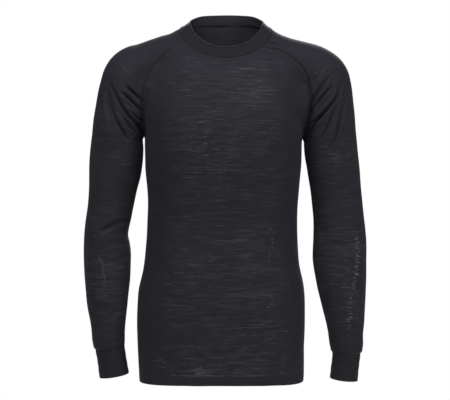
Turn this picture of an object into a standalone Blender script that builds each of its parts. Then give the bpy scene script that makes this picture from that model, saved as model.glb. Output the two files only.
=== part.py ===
"""Base layer top: raglan sleeves, crew neck band, doubled cuffs and a turned-up hem.

The top keeps the hollow form it has when worn, with nobody in it. The tables are in
millimetres and the meshes in metres; +Z is up, the front faces -Y and +X is the wearer's left.
The origin lies midway between the shoulders, at the height where the cloth rests on them.

The cloth's outer face is one smooth form: the body's sections blended into the two sleeves'
sections, less the creases. Each cut piece is a grid laid on that form between its own seams,
with its inner face a cloth's thickness inside it.
"""
import bpy
import numpy as np

for old in list(bpy.data.objects):
    bpy.data.objects.remove(old)

MM = 0.001

# Cloth and seams
JERSEY = 1.2                # the single knit of the panels
DOUBLED = 2.0               # neck band and cuffs, folded double
HEM_WALL = 2.2              # the hem, turned up once
HEM_DEPTH = 20.0
SEAM_GAP = 0.3
CUFF_EASE = 1.4             # the sleeve's end stands this far outside its cuff
EASE_REACH = 9.0

# The body's sections, upwards. Depths run from the side seams, and squareness is the exponent
# of the superellipse: 2 is an ellipse, more is boxier.
HEM = -692.0
BODY = np.array((
    # height, middle, half width, front, back, squareness
    (-730, -5.0, 162.0, 101.0, 107.0, 4.40),
    (-692, -5.0, 162.2, 104.5, 108.5, 4.20),
    (-636, -5.6, 164.8, 110.0, 112.0, 3.20),
    (-564, -6.0, 166.8, 112.0, 114.0, 2.70),
    (-516, -5.3, 164.5, 111.0, 110.0, 2.50),
    (-468, -4.6, 154.8, 107.5, 101.0, 2.45),
    (-420, -4.0, 150.2, 105.0, 93.0, 2.40),
    (-372, -2.9, 149.1, 104.5, 90.0, 2.40),
    (-324, -1.8, 150.8, 109.0, 95.0, 2.40),
    (-276, -1.8, 154.6, 115.0, 103.0, 2.40),
    (-228, -1.2, 156.6, 119.5, 109.0, 2.40),
    (-196, -0.6, 157.4, 119.5, 111.5, 2.40),
    (-160, 0.0, 156.0, 113.5, 112.0, 2.40),
    (-124, 0.0, 149.0, 103.5, 109.0, 2.35),
    (-92, 1.0, 136.0, 93.0, 103.5, 2.30),
    (-62, 3.0, 121.0, 78.5, 96.0, 2.25),
    (-36, 4.0, 108.0, 66.0, 86.5, 2.20),
    (-14, 4.0, 98.0, 60.0, 77.5, 2.15),
    (4, 4.5, 85.5, 57.0, 70.5, 2.10),
    (18, 4.8, 73.2, 54.0, 66.0, 2.10),
    (40, 5.5, 60.0, 50.0, 61.0, 2.10),
))

# Each sleeve's sections along its middle line, from beside the neck to beyond the cuff.
RIGHT_SLEEVE = np.array((
    # across, forward/back, height, half width, half depth
    (-52.0, 2, -36.0, 40.0, 46.0),
    (-84.0, 2, -45.6, 41.5, 46.0),
    (-112.0, 2, -53.2, 43.5, 47.0),
    (-136.0, 2, -65.5, 47.0, 49.0),
    (-160.0, 1, -78.0, 51.0, 52.0),
    (-180.5, 0, -91.0, 56.6, 56.0),
    (-188.5, 0, -113.0, 58.5, 58.0),
    (-196.5, 0, -141.0, 57.5, 60.0),
    (-203.0, 0, -168.0, 55.0, 61.0),
    (-208.6, 0, -190.0, 52.6, 61.0),
    (-212.8, 0, -211.0, 50.4, 60.0),
    (-214.0, 0, -240.0, 53.1, 58.0),
    (-217.0, -1, -276.0, 52.4, 55.0),
    (-222.8, -3, -324.0, 47.2, 50.0),
    (-229.7, -6, -371.7, 44.2, 48.0),
    (-234.3, -9, -407.4, 43.4, 47.0),
    (-231.9, -12, -443.0, 46.7, 46.0),
    (-231.8, -15, -478.6, 46.0, 45.0),
    (-231.3, -19, -525.8, 42.0, 42.0),
    (-229.5, -24, -572.8, 35.5, 36.5),
    (-226.6, -28, -619.6, 29.6, 32.0),
    (-220.9, -31, -654.7, 28.2, 28.8),
    (-216.5, -33, -683.0, 29.3, 29.0),
    (-211.0, -35, -720.0, 29.5, 29.2),
))
LEFT_SLEEVE = np.array((
    # across, forward/back, height, half width, half depth
    (58.0, 2, -40.0, 37.0, 45.0),
    (86.0, 2, -49.0, 40.0, 46.0),
    (106.0, 2, -54.5, 44.0, 47.0),
    (128.0, 2, -65.2, 48.2, 49.0),
    (151.0, 1, -73.5, 51.0, 52.0),
    (173.0, 0, -82.8, 53.5, 55.0),
    (190.6, 0, -97.4, 57.2, 57.0),
    (197.5, 0, -123.0, 58.0, 59.0),
    (201.5, 0, -146.0, 57.0, 60.0),
    (205.5, 0, -168.0, 55.5, 61.0),
    (209.0, 0, -192.0, 54.0, 61.0),
    (212.2, 0, -218.0, 53.3, 60.0),
    (213.5, 0, -240.0, 53.1, 58.0),
    (218.3, -1, -276.0, 51.6, 56.0),
    (223.7, -3, -323.9, 50.1, 52.0),
    (228.5, -6, -371.7, 50.6, 50.0),
    (229.9, -11, -419.3, 52.9, 50.0),
    (229.4, -14, -442.9, 53.5, 50.0),
    (231.8, -21, -489.9, 49.8, 48.0),
    (235.2, -28, -536.6, 43.6, 43.0),
    (238.9, -35, -583.1, 36.8, 37.0),
    (240.0, -39, -615.0, 31.6, 32.0),
    (240.3, -42, -637.0, 27.8, 28.5),
    (236.0, -46, -675.6, 27.0, 27.0),
    (234.6, -47.5, -690.0, 27.5, 27.2),
    (231.0, -50, -725.0, 27.8, 27.3),
))
CUFFS = {"right": (-684.2, 59.0), "left": (-689.2, 55.0)}   # height of its end, its depth

# How far body and sleeve melt into each other, by height: tight in the armpit, wide above it.
BLEND = np.array((
    # height, reach
    (-260, 3.0),
    (-226, 4.5),
    (-212, 7.0),
    (-198, 15.0),
    (-180, 26.0),
    (-155, 38.0),
    (-115, 46.0),
    (-70, 32.0),
    (60, 28.0),
))

# The neck's seam and the band's fold, by angle from the front round to the back.
NECK_MIDDLE = (4.5, -5.0)
SEAM_PLAN = (89.5, 73.0, 71.0)      # half width, front, back
FOLD_PLAN = (73.0, 65.0, 65.0)
NECK = np.array((
    # angle, seam height, fold height
    (0, -62.5, -39.8),
    (25, -56.5, -33.8),
    (45, -43.8, -21.0),
    (60, -30.5, -7.6),
    (75, -15.0, 7.8),
    (90, 0.5, 15.5),
    (110, 7.4, 23.5),
    (135, 14.8, 32.5),
    (160, 15.8, 36.3),
    (180, 15.8, 37.3),
))

# Underarm points and the raglan seams up from them, as seen from the front or the back. Each
# seam ends on the neck's seam, at an angle from the front that grows towards +X.
UNDERARM = {"right": (-160.0, -211.0), "left": (157.6, -218.0)}
RAGLAN = {
    # across, height
    ("front", "right"): ((-161.5, -190), (-162.3, -166), (-160.7, -143), (-157.1, -120),
                         (-146.5, -93), (-136.0, -74), (-118.2, -54.5), (-98.0, -37.5)),
    ("front", "left"): ((158.8, -208), (163.0, -192), (167.6, -170), (169.2, -148), (167.2, -124),
                        (159.5, -92), (146.5, -72.5), (128.5, -56.5), (110.0, -44.5),
                        (90.0, -42.5)),
    ("back", "right"): ((-163.5, -188), (-163.0, -160), (-156.5, -128), (-144.0, -96),
                        (-125.0, -62), (-99.0, -28), (-75.0, -2)),
    ("back", "left"): ((158.6, -208), (162.0, -190), (164.0, -164), (159.5, -130), (148.0, -98),
                       (130.0, -64), (106.0, -30), (88.0, -6)),
}
NECK_JOINS = {"right": (-69.4, -138.0), "left": (50.3, 127.0)}      # front and back

# The largest creases: troughs as seen from the front or the back, each with a low ridge on
# either side. They run from the armpits out over the sleeves, and across the elbow.
CREASES = (
    # face, depth, half width, (across, height) along it
    ("front", 4.5, 13, ((-228, -106), (-209, -139), (-195, -162), (-181, -182), (-161, -201))),
    ("front", 3.5, 13, ((-222, -150), (-212, -174), (-201, -198), (-186, -228))),
    ("front", 3.0, 14, ((-178, -380), (-205, -383), (-248, -404))),
    ("front", 4.5, 13, ((232, -114), (219, -141), (205, -159), (191, -180), (160, -215))),
    ("front", 3.5, 13, ((246, -146), (232, -176), (216, -212), (204, -244))),
    ("back", 4.5, 13, ((-226, -108), (-206, -140), (-188, -168), (-163, -198))),
    ("back", 3.5, 13, ((-230, -158), (-212, -190), (-188, -226))),
    ("back", 3.0, 14, ((-180, -372), (-212, -366), (-252, -376))),
    ("back", 4.5, 13, ((228, -112), (208, -143), (190, -172), (164, -204))),
    ("back", 3.5, 13, ((234, -166), (216, -198), (192, -234))),
    ("back", 3.0, 14, ((182, -396), (216, -390), (260, -402))),
)
CREASE_RIDGE = 1.2          # how strongly its ridges stand up
CREASE_FADE = 26.0          # creases fade out over this depth before the sleeve's sides

# Grid lines. Rows below the underarm are given by their distance from it.
BODY_DROPS = (HEM_DEPTH, 1.4, 34, 34, 36, 38, 40, 42, 44, 44, 42, 38, 28, 20, 10.6, 5.5, 2.5)
BODY_COLUMNS = 24
NECK_CROWD = 0.6            # its columns crowd to the raglan seams by this share at the neck
SLEEVE_DROPS = (3, 6, 10, 12, 13, 14, 16, 18, 20, 20, 20, 22, 24, 26, 28, 30, 32, 34, 30, 14, 7)
SLEEVE_COLUMNS = 26
CROWD = 0.3                 # sleeve columns crowd to its front and back by this share
CAP_ROWS = 17               # rows from the underarm up to the neck
CAP_START = 0.012           # the first of them, as a share of the raglan seam
SHOULDER_SIDE = 0.8         # they are even along a line this far out to the sleeve's top

# Rows of the doubled bands, from seam to fold: how far up, the swell there, and the wall
BAND_ROWS = ((0, 0, DOUBLED), (0.5, 0.8, DOUBLED), (0.96, 0, DOUBLED), (1, -0.6, DOUBLED - 1.2))
CUFF_ROWS = ((0, 0, DOUBLED), (0.35, 0.3, DOUBLED), (0.7, 0.3, DOUBLED), (0.985, 0, DOUBLED),
             (1, -0.6, DOUBLED - 1.2))

CHARCOAL = (0.024, 0.023, 0.029)
DEEP_CHARCOAL = (0.021, 0.020, 0.025)
ROUGHNESS = 0.8

# Finding points on the cloth
OUTSIDE = 220.0             # farther forward or back than any cloth
SEARCH = 12.0               # how far below the underarm the gap's top is looked for
HALVINGS = 18
STEEPEST_MITRE = 0.5


def smooth_rows(key, rows, at):
    """The rows read at other values of their key: cubics whose slopes come from both sides."""
    slope = np.gradient(rows, key, axis=0)
    at = np.clip(at, key[0], key[-1])
    i = np.clip(np.searchsorted(key, at) - 1, 0, len(key) - 2)
    gap = (key[i + 1] - key[i])[..., None]
    t = (at - key[i])[..., None] / gap
    value = rows[i] * (1 + 2 * t) + slope[i] * gap * t
    following = rows[i + 1] * (3 - 2 * t) - slope[i + 1] * gap * (1 - t)
    return value * (1 - t) ** 2 + following * t ** 2


def lengths_along(points):
    """Distance along a line of points, starting at 0."""
    steps = np.linalg.norm(np.diff(points, axis=0), axis=1)
    return np.concatenate(((0.0,), np.cumsum(steps)))


def unit(vectors):
    """Vectors at length 1."""
    return vectors / np.maximum(np.linalg.norm(vectors, axis=-1, keepdims=True), 1e-9)


class SleeveLine:
    """A sleeve's sections read at any distance along its middle line."""

    def __init__(self, rows):
        self.rows = rows
        self.key = lengths_along(rows[:, :3])
        self.fine = np.linspace(0, self.key[-1], 121)
        self.samples = smooth_rows(self.key, rows, self.fine)

    def at(self, along):
        """Middle, direction, the square-across direction towards the body, and half sizes."""
        along = np.asarray(along, float)
        row = smooth_rows(self.key, self.rows, along)
        ahead = smooth_rows(self.key, self.rows, along + 1)[..., :3]
        behind = smooth_rows(self.key, self.rows, along - 1)[..., :3]
        direction = unit(ahead - behind)
        inward = -np.sign(self.rows[-1, 0]) * unit(np.cross(direction, (0, 1, 0)))
        return row[..., :3], direction, inward, row[..., 3], row[..., 4]

    def where(self, height):
        """Distance along the line at which the arm's part of it has this height."""
        return np.interp(-height, -self.samples[:, 2], self.fine)

    def distance(self, p):
        """Signed distance from the sleeve's outer face, near enough for blending: the least
        over short stretches of the sleeve, each rounded at its ends."""
        a, b = self.samples[:-1], self.samples[1:]
        run = (b - a)[:, :3]
        away = p[:, None] - a[:, :3]
        share = np.clip((away * run).sum(-1) / (run ** 2).sum(-1), 0, 1)[..., None]
        away = away - share * run
        size = a[:, 3:] * (1 - share) + b[:, 3:] * share
        along = unit(run)
        beyond = (away * along).sum(-1)
        sizes = size[..., (0, 1, 0)]
        parts = np.stack(((away * unit(np.cross(along, (0, 1, 0)))).sum(-1),
                          away[..., 1] - beyond * along[:, 1], beyond), axis=-1) / sizes
        ratio = np.linalg.norm(parts, axis=-1)
        steep = np.linalg.norm(parts / sizes, axis=-1)
        return ((ratio - 1) * ratio / np.maximum(steep, 1e-6)).min(axis=1)


SLEEVES = {"right": SleeveLine(RIGHT_SLEEVE), "left": SleeveLine(LEFT_SLEEVE)}


def body_distance(p):
    """Signed distance from the body's outer face, measured level."""
    middle, half, front, back, square = smooth_rows(BODY[:, 0], BODY[:, 1:], p[:, 2]).T
    depth = np.where(p[:, 1] < 0, front, back)
    across = np.maximum(np.abs(p[:, 0] - middle) / half, 1e-6)
    forward = np.maximum(np.abs(p[:, 1]) / depth, 1e-6)
    ratio = (across ** square + forward ** square) ** (1 / square)
    steep = ratio ** (1 - square) * np.hypot(across ** (square - 1) / half,
                                             forward ** (square - 1) / depth)
    return (ratio - 1) / np.maximum(steep, 1e-6)


def melt(one, other, reach):
    """The lower of two distances, rounded off where they are nearer than the reach."""
    near = np.maximum(reach - np.abs(one - other), 0) / reach
    return np.minimum(one, other) - near ** 2 * reach / 4


def line_distance(p, line):
    """Distance of points from a line of points, and how far along it they are, 0 to 1."""
    a, b = line[:-1], line[1:]
    run = b - a
    share = np.clip(((p[:, None] - a) * run).sum(-1) / (run ** 2).sum(-1), 0, 1)
    away = np.linalg.norm(p[:, None] - a - share[..., None] * run, axis=-1)
    nearest = np.argmin(away, axis=1)
    pick = np.arange(len(p))
    key = lengths_along(line)
    along = key[nearest] + share[pick, nearest] * np.diff(key)[nearest]
    return away[pick, nearest], along / key[-1]


def creasing(p):
    """How far the creases push the cloth in: deepest halfway along each one."""
    pushed = np.zeros(len(p))
    for face, depth, half, line in CREASES:
        away, along = line_distance(p[:, (0, 2)], np.array(line, float))
        square = (away / half) ** 2
        side = -p[:, 1] if face == "front" else p[:, 1]
        facing = np.clip(side / CREASE_FADE, 0, 1)
        strength = depth * np.sin(np.pi * along) ** 0.7 * facing ** 2 * (3 - 2 * facing)
        pushed += strength * (1 - CREASE_RIDGE * square) * np.exp(-square)
    return pushed


def form(points):
    """Signed distance from the cloth's outer face: below 0 inside the garment."""
    p = points.reshape(-1, 3)
    reach = smooth_rows(BLEND[:, 0], BLEND[:, 1:], p[:, 2])[:, 0]
    value = body_distance(p)
    for sleeve in SLEEVES.values():
        value = melt(value, sleeve.distance(p), reach)
    return (value + creasing(p)).reshape(points.shape[:-1])


def form_slope(points):
    """The form's slope in x, y and z, from a quarter of a millimetre either way."""
    step = 0.25
    parts = [form(points + step * axis) - form(points - step * axis) for axis in np.eye(3)]
    return np.stack(parts, axis=-1) / (2 * step)


def settle(points, rounds=7, most=12.0):
    """Points moved straight down or up the form's slope until they lie on the cloth."""
    for _ in range(rounds):
        slope = form_slope(points)
        move = -slope * (form(points) / (slope ** 2).sum(-1))[..., None]
        length = np.linalg.norm(move, axis=-1, keepdims=True)
        points = points + move * np.minimum(1, most / np.maximum(length, 1e-9))
    return points


def first_cloth(starts, direction, reach, steps=70):
    """Where lines from outside the garment first meet the cloth."""
    direction = np.asarray(direction, float)
    along = np.linspace(0, reach, steps)
    value = form(starts[:, None] + along[:, None] * direction)
    hit = np.argmax(value < 0, axis=1)
    low, high = along[hit - 1], along[hit]
    for _ in range(HALVINGS):
        middle = (low + high) / 2
        inside = form(starts + middle[:, None] * direction) < 0
        low, high = np.where(inside, low, middle), np.where(inside, middle, high)
    return starts + high[:, None] * direction


def neck_points(angles, plan, column):
    """The neck's seam (column 1) or the band's fold (column 2) at angles in degrees."""
    half, front, back = plan
    turned = np.abs((angles + 180) % 360 - 180)
    height = smooth_rows(NECK[:, 0], NECK[:, column:column + 1], turned)[..., 0]
    forward = np.cos(np.radians(angles))
    depth = np.where(forward > 0, front, back)
    return np.stack((NECK_MIDDLE[0] + half * np.sin(np.radians(angles)),
                     NECK_MIDDLE[1] - depth * forward, height), axis=-1)


def neck_seam(angles):
    """The seam of the neck band, on the cloth."""
    return settle(neck_points(np.asarray(angles, float), SEAM_PLAN, 1))


def neck_fold(angles):
    """The fold along the top of the neck band."""
    return neck_points(np.asarray(angles, float), FOLD_PLAN, 2)


def underarm(side):
    """The point where the side seam, the sleeve seam and both raglan seams meet: the top of
    the gap between body and sleeve."""
    across, height = UNDERARM[side]
    starts = np.zeros((41, 3)) + (across, 0, height - SEARCH)
    starts[:, 0] += np.linspace(-SEARCH / 3, SEARCH / 3, len(starts))
    tops = first_cloth(starts[form(starts) > 0], (0, 0, 1), 3 * SEARCH)
    return tops[np.argmax(tops[:, 2])]


def cap_shares():
    """Rows from the underarm (0) to the neck (1): close together at first, then even."""
    even = np.linspace(0, 1, CAP_ROWS - 1)[1:]
    return np.concatenate(((0, CAP_START, 3 * CAP_START), even))


def raglan_seam(face, side):
    """One raglan seam on the cloth, from the underarm to the neck."""
    side_sign = -1 if face == "front" else 1
    start = UNDERARMS[side]
    end = neck_seam([NECK_JOINS[side][face == "back"]])[0]
    way = np.array(((start[0], start[2]), *RAGLAN[face, side], (end[0], end[2])), float)
    key = lengths_along(way)
    flat = smooth_rows(key, way, cap_shares()[1:-1] * key[-1])
    outside = np.stack((flat[:, 0], np.full(len(flat), side_sign * OUTSIDE), flat[:, 1]), axis=1)
    seam = first_cloth(outside, (0, -side_sign, 0), OUTSIDE)
    return np.vstack((start, seam, end))


def body_rows():
    """Rows of a panel from the hem (0) to the underarm (1)."""
    drops = np.cumsum(BODY_DROPS)
    return np.concatenate(((0,), drops / drops[-1]))


def side_seam(side):
    """A side seam from the hem to the underarm."""
    top = UNDERARMS[side]
    height = HEM + (top[2] - HEM) * body_rows()[:-1]
    middle, half = smooth_rows(BODY[:, 0], BODY[:, 1:3], height).T
    across = middle + half * np.sign(top[0])
    seam = settle(np.stack((across, np.zeros_like(across), height), axis=1))
    seam[:, 2] = height
    return np.vstack((seam, top))


def neck_angles(piece):
    """The angles of a piece's columns along the neck's seam."""
    if piece in NECK_JOINS:
        return np.linspace(*NECK_JOINS[piece], SLEEVE_COLUMNS + 1)
    (right_front, right_back), (left_front, left_back) = NECK_JOINS["right"], NECK_JOINS["left"]
    first, last = (right_front, left_front) if piece == "front" else (right_back + 360, left_back)
    even = np.linspace(0, 1, BODY_COLUMNS + 1)
    crowded = (1 - np.cos(np.pi * even)) / 2
    return first + (last - first) * (even + (crowded - even) * NECK_CROWD)


def cap_patch(bottom, top, left, right):
    """A grid filling four edges: each edge's shape fades out towards the opposite one. Its
    rows are close together only where they leave the underarms."""
    u = np.linspace(0, 1, len(bottom))[None, :, None]
    key = lengths_along(left) / lengths_along(left)[-1]
    even = np.linspace(0, 1, len(left))
    v = key[:, None, None] + (even - key)[:, None, None] * np.sin(np.pi * u)
    across = (1 - v) * bottom[None] + v * top[None]
    sides = [np.stack([np.interp(v[..., 0], key, part) for part in side.T], axis=-1)
             for side in (left, right)]
    upward = (1 - u) * sides[0] + u * sides[1]
    corners = ((1 - u) * ((1 - v) * bottom[0] + v * top[0])
               + u * ((1 - v) * bottom[-1] + v * top[-1]))
    return across + upward - corners


def body_panel(face):
    """The front's or the back's grid on the cloth, from the wearer's right to the left."""
    sign = -1 if face == "front" else 1
    angle = np.linspace(0, np.pi, BODY_COLUMNS + 1)
    right, left = SIDE_SEAMS["right"], SIDE_SEAMS["left"]
    u = (1 - np.cos(angle)) / 2
    height = right[:, 2:] * (1 - u) + left[:, 2:] * u
    middle, half, front, back, square = np.moveaxis(
        smooth_rows(BODY[:, 0], BODY[:, 1:], height), -1, 0)
    depth = front if face == "front" else back
    across = middle - half * np.sign(np.cos(angle)) * np.abs(np.cos(angle)) ** (2 / square)
    forward = sign * depth * np.sin(angle) ** (2 / square)
    lower = settle(np.stack((across, forward, height), axis=-1))
    lower[:, 0], lower[:, -1] = right, left
    top = neck_seam(neck_angles(face))
    edges = SEAMS[face, "right"], SEAMS[face, "left"]
    upper = settle(cap_patch(lower[-1], top, *edges))
    upper[-1] = top
    upper[:, 0], upper[:, -1] = edges
    return np.concatenate((lower, upper[1:]))


def round_shares():
    """Columns round a sleeve or cuff, from its seam and back to it, 0 to 1."""
    even = np.linspace(0, 1, SLEEVE_COLUMNS + 1)
    return even + CROWD * np.sin(4 * np.pi * even) / (4 * np.pi)


def sleeve_panel(side):
    """A sleeve's grid on the cloth, from the cuff's seam to the neck; columns run from the
    sleeve's own seam round its front and outside to its back."""
    line = SLEEVES[side]
    share = round_shares()
    start = line.where(UNDERARMS[side][2])
    end = line.where(CUFFS[side][0]) - CUFFS[side][1] - SEAM_GAP / 2
    drops = np.concatenate(((0,), np.cumsum(SLEEVE_DROPS)))
    along = (start + (end - start) * drops / drops[-1])[::-1]
    front, back, top = SEAMS["front", side], SEAMS["back", side], neck_seam(neck_angles(side))
    middle, direction = line.at(0)[:2]
    neck_end = (top[len(top) // 2] - middle) @ direction
    fine = np.linspace(start, neck_end, 60)
    middle, _, inward, half, _ = line.at(fine)
    over = lengths_along(middle - inward * (half * SHOULDER_SIDE)[:, None])
    even = np.linspace(0, over[-1], CAP_ROWS + 1)[1:]
    along = np.concatenate((along, np.interp(even, over, fine)))
    middle, direction, inward, half, depth = line.at(along)
    first, last = np.zeros(len(along)), np.full(len(along), 2 * np.pi)
    lean = np.zeros((2, len(along)))
    cap = slice(len(along) - len(front) + 1, None)
    for place, edge, angles in ((0, front, first), (1, back, last)):
        away = edge[1:] - middle[cap]
        turn = np.arctan2(-away[:, 1] / depth[cap], (away * inward[cap]).sum(-1) / half[cap])
        angles[cap] = turn % (2 * np.pi)
        lean[place, cap] = (away * direction[cap]).sum(-1)
    angle = first[:, None] + (last - first)[:, None] * share
    tilt = lean[0][:, None] * (1 - share) ** 3 + lean[1][:, None] * share ** 3
    grid = (middle[:, None]
            + (half[:, None] * np.cos(angle))[..., None] * inward[:, None]
            - (depth[:, None] * np.sin(angle))[..., None] * np.array((0, 1, 0))
            + tilt[..., None] * direction[:, None])
    grid = settle(grid)
    joined = len(drops)
    grid[joined - 1:, 0], grid[joined - 1:, -1] = front, back
    grid[-1] = top
    ease = CUFF_EASE * np.exp(-((end - along[:joined]) / EASE_REACH) ** 2)
    grid[:joined] += ease[:, None, None] * unit(form_slope(grid[:joined]))
    return grid, joined


def set_back(edge, neighbours, normals):
    """How far each point of a free edge moves into its own piece, to open half the seam."""
    run = np.diff(edge, axis=0)
    into = unit(np.cross((normals[1:] + normals[:-1]) / 2, run))
    inside = (neighbours - edge)[1:] + (neighbours - edge)[:-1]
    into *= np.sign((into * inside).sum(-1))[:, None]
    before, after = np.vstack((into[:1], into)), np.vstack((into, into[-1:]))
    share = np.maximum(1 + (before * after).sum(-1), STEEPEST_MITRE)[:, None]
    return SEAM_GAP / 2 * (before + after) / share


def neck_mitre(angles, panel_normals):
    """The band's outward directions along the neck's seam, and the way through the cloth
    there: halfway between panel and band, and longer by the slant."""
    fine = neck_seam(np.stack((angles - 0.5, angles + 0.5)))
    band = unit(np.cross(fine[1] - fine[0], neck_fold(angles) - neck_seam(angles)))
    band *= np.sign((band * panel_normals).sum(-1))[:, None]
    halfway = unit(band + panel_normals)
    return band, halfway / (halfway * panel_normals).sum(-1)[:, None]


def panel_faces(grid, joined, angles, thickness):
    """A panel's outer and inner faces, with its edges set back from its seams."""
    normals = unit(form_slope(grid))
    outer = grid.copy()
    first = max(joined - 1, 0)
    outer[first:, 0] += set_back(grid[first:, 0], grid[first:, 1], normals[first:, 0])
    outer[first:, -1] += set_back(grid[first:, -1], grid[first:, -2], normals[first:, -1])
    outer[-1] += set_back(grid[-1], grid[-2], normals[-1])
    through = normals.copy()
    through[-1] = neck_mitre(angles, normals[-1])[1]
    return outer, outer - through * thickness[:, None, None]


def finish(colour):
    """A cloth material."""
    material = bpy.data.materials.new("cloth")
    material.use_nodes = True
    shader = material.node_tree.nodes["Principled BSDF"]
    shader.inputs["Base Color"].default_value = (*colour, 1)
    shader.inputs["Roughness"].default_value = ROUGHNESS
    shader.inputs["Metallic"].default_value = 0
    return material


def wall(name, outer, inner, joined, colour, on_form):
    """A named solid between two grids of points, closed round its free edges. The first
    rows, up to the joined ones, are tubes whose last column is the first one again. Quads on
    the form are split along the diagonal that lies nearer the cloth, others along the
    shorter one."""
    rows, columns = outer.shape[:2]
    at = np.arange(rows * columns).reshape(rows, columns)
    at[:joined, -1] = at[:joined, 0]
    under = at + at.size
    quads = [np.stack((at[:-1, :-1], at[:-1, 1:], at[1:, 1:], at[1:, :-1]), -1).reshape(-1, 4)]
    faced = len(quads[0])
    quads.append(quads[0][:, (0, 3, 2, 1)] + at.size)
    low, high = at[0], at[-1]
    quads.append(np.stack((low[1:], low[:-1], under[0, :-1], under[0, 1:]), -1))
    quads.append(np.stack((high[:-1], high[1:], under[-1, 1:], under[-1, :-1]), -1))
    first = max(joined - 1, 0)
    free, free_under = at[first:], under[first:]
    quads.append(np.stack((free[:-1, 0], free[1:, 0], free_under[1:, 0], free_under[:-1, 0]), -1))
    quads.append(np.stack((free[1:, -1], free[:-1, -1], free_under[:-1, -1],
                           free_under[1:, -1]), -1))
    quads = np.vstack(quads)
    points = np.concatenate((outer.reshape(-1, 3), inner.reshape(-1, 3)))
    used, quads = np.unique(quads, return_inverse=True)
    points, quads = points[used], quads.reshape(-1, 4)
    a, b, c, d = np.moveaxis(points[quads], 1, 0)
    first = np.linalg.norm(a - c, axis=1) < np.linalg.norm(b - d, axis=1)
    if on_form:
        nearer = np.abs(form((a + c)[:faced] / 2)) < np.abs(form((b + d)[:faced] / 2))
        first[:faced] = first[faced:2 * faced] = nearer
    quads = np.where(first[:, None], quads, np.roll(quads, -1, axis=1))
    faces = np.vstack((quads[:, (0, 1, 2)], quads[:, (0, 2, 3)]))
    a, b, c = np.moveaxis(points[faces], 1, 0)
    if (a * np.cross(b, c)).sum() < 0:
        faces = faces[:, ::-1]
    mesh = bpy.data.meshes.new(name)
    mesh.from_pydata((points * MM).tolist(), [], faces.tolist())
    mesh.shade_smooth()
    mesh.materials.append(finish(colour))
    piece = bpy.data.objects.new(name, mesh)
    bpy.context.scene.collection.objects.link(piece)
    return piece


def build_body(face):
    """The front or the back, with its hem turned up inside."""
    grid = body_panel(face)
    thickness = np.full(len(grid), JERSEY)
    thickness[:2] = HEM_WALL
    outer, inner = panel_faces(grid, 0, neck_angles(face), thickness)
    wall(face, outer, inner, 0, CHARCOAL, True)


def build_sleeve(side):
    """A sleeve: a tube up to the underarm, open between the raglan seams above it."""
    grid, joined = sleeve_panel(side)
    outer, inner = panel_faces(grid, joined, neck_angles(side), np.full(len(grid), JERSEY))
    wall("sleeve_" + side, outer, inner, joined, CHARCOAL, True)


def build_neckband():
    """The neck band, from its seam round its folded top edge."""
    pieces = [neck_angles("front"), neck_angles("left"), neck_angles("back")[::-1],
              neck_angles("right")[::-1] + 360]
    angles = np.concatenate([piece[:-1] for piece in pieces] + [pieces[0][:1] + 360])
    seam, fold = neck_seam(angles), neck_fold(angles)
    panel = unit(form_slope(seam))
    band, through = neck_mitre(angles, panel)
    rise = fold - seam
    start = SEAM_GAP / 2 / np.linalg.norm(rise, axis=1)[:, None]
    outer, inner = [], []
    for share, swell, thick in BAND_ROWS:
        way = through if share == 0 else band
        row = seam + rise * np.maximum(share, start) + swell * band
        outer.append(row)
        inner.append(row - thick * way)
    wall("neckband", np.stack(outer), np.stack(inner), len(outer), DEEP_CHARCOAL, False)


def build_cuff(side):
    """A cuff: a tube round the sleeve's line, folded at its lower edge."""
    line = SLEEVES[side]
    end = line.where(CUFFS[side][0])
    seam = end - CUFFS[side][1]
    turn = 2 * np.pi * round_shares()[None, :, None]
    outer, inner = [], []
    for share, swell, thick in CUFF_ROWS:
        along = np.full(1, seam + (end - seam) * share + (SEAM_GAP / 2 if share == 0 else 0))
        middle, _, inward, half, depth = line.at(along)
        round_way = np.cos(turn) * inward[:, None], -np.sin(turn) * np.array((0, 1, 0))
        for rows, out in ((outer, swell), (inner, swell - thick)):
            rows.append(middle + ((half + out) * round_way[0] + (depth + out) * round_way[1])[0])
    wall("cuff_" + side, np.stack(outer), np.stack(inner), len(outer), DEEP_CHARCOAL, False)


UNDERARMS = {side: underarm(side) for side in SLEEVES}
SIDE_SEAMS = {side: side_seam(side) for side in SLEEVES}
SEAMS = {key: raglan_seam(*key) for key in RAGLAN}
for panel in ("front", "back"):
    build_body(panel)
for arm in SLEEVES:
    build_sleeve(arm)
    build_cuff(arm)
build_neckband()
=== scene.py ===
"""Base layer top in fine slub jersey: raglan sleeves, neck band, doubled cuffs, stitched hem."""

import bpy
import numpy as np
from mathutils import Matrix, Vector


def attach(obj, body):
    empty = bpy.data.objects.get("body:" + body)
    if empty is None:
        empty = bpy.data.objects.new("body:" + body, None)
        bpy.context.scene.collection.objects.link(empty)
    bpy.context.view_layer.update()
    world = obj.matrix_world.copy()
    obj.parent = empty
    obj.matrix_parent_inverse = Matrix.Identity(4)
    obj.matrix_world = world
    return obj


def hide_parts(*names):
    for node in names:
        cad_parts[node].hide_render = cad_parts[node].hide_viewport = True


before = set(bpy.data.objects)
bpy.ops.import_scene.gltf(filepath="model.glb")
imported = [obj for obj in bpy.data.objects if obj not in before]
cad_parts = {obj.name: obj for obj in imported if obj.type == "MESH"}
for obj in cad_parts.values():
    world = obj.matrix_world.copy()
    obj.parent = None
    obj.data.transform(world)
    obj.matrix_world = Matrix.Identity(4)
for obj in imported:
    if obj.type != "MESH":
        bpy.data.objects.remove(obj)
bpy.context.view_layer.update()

# ------------------------------------------------------------------ front and back panels
# Two raglan-cut panels of one fine single jersey with slubs in its yarn. Each is cut flat and
# sewn at the sides; its lower edge is turned up once and coverstitched. All sizes here are in
# millimetres until a mesh is made.
JERSEY = 1.2                # the single knit
HEM_WALL = 2.2              # the hem, turned up once
HEM_DEPTH = 20.0
SEAM_GAP = 0.3
HEM = -692.0
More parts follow.
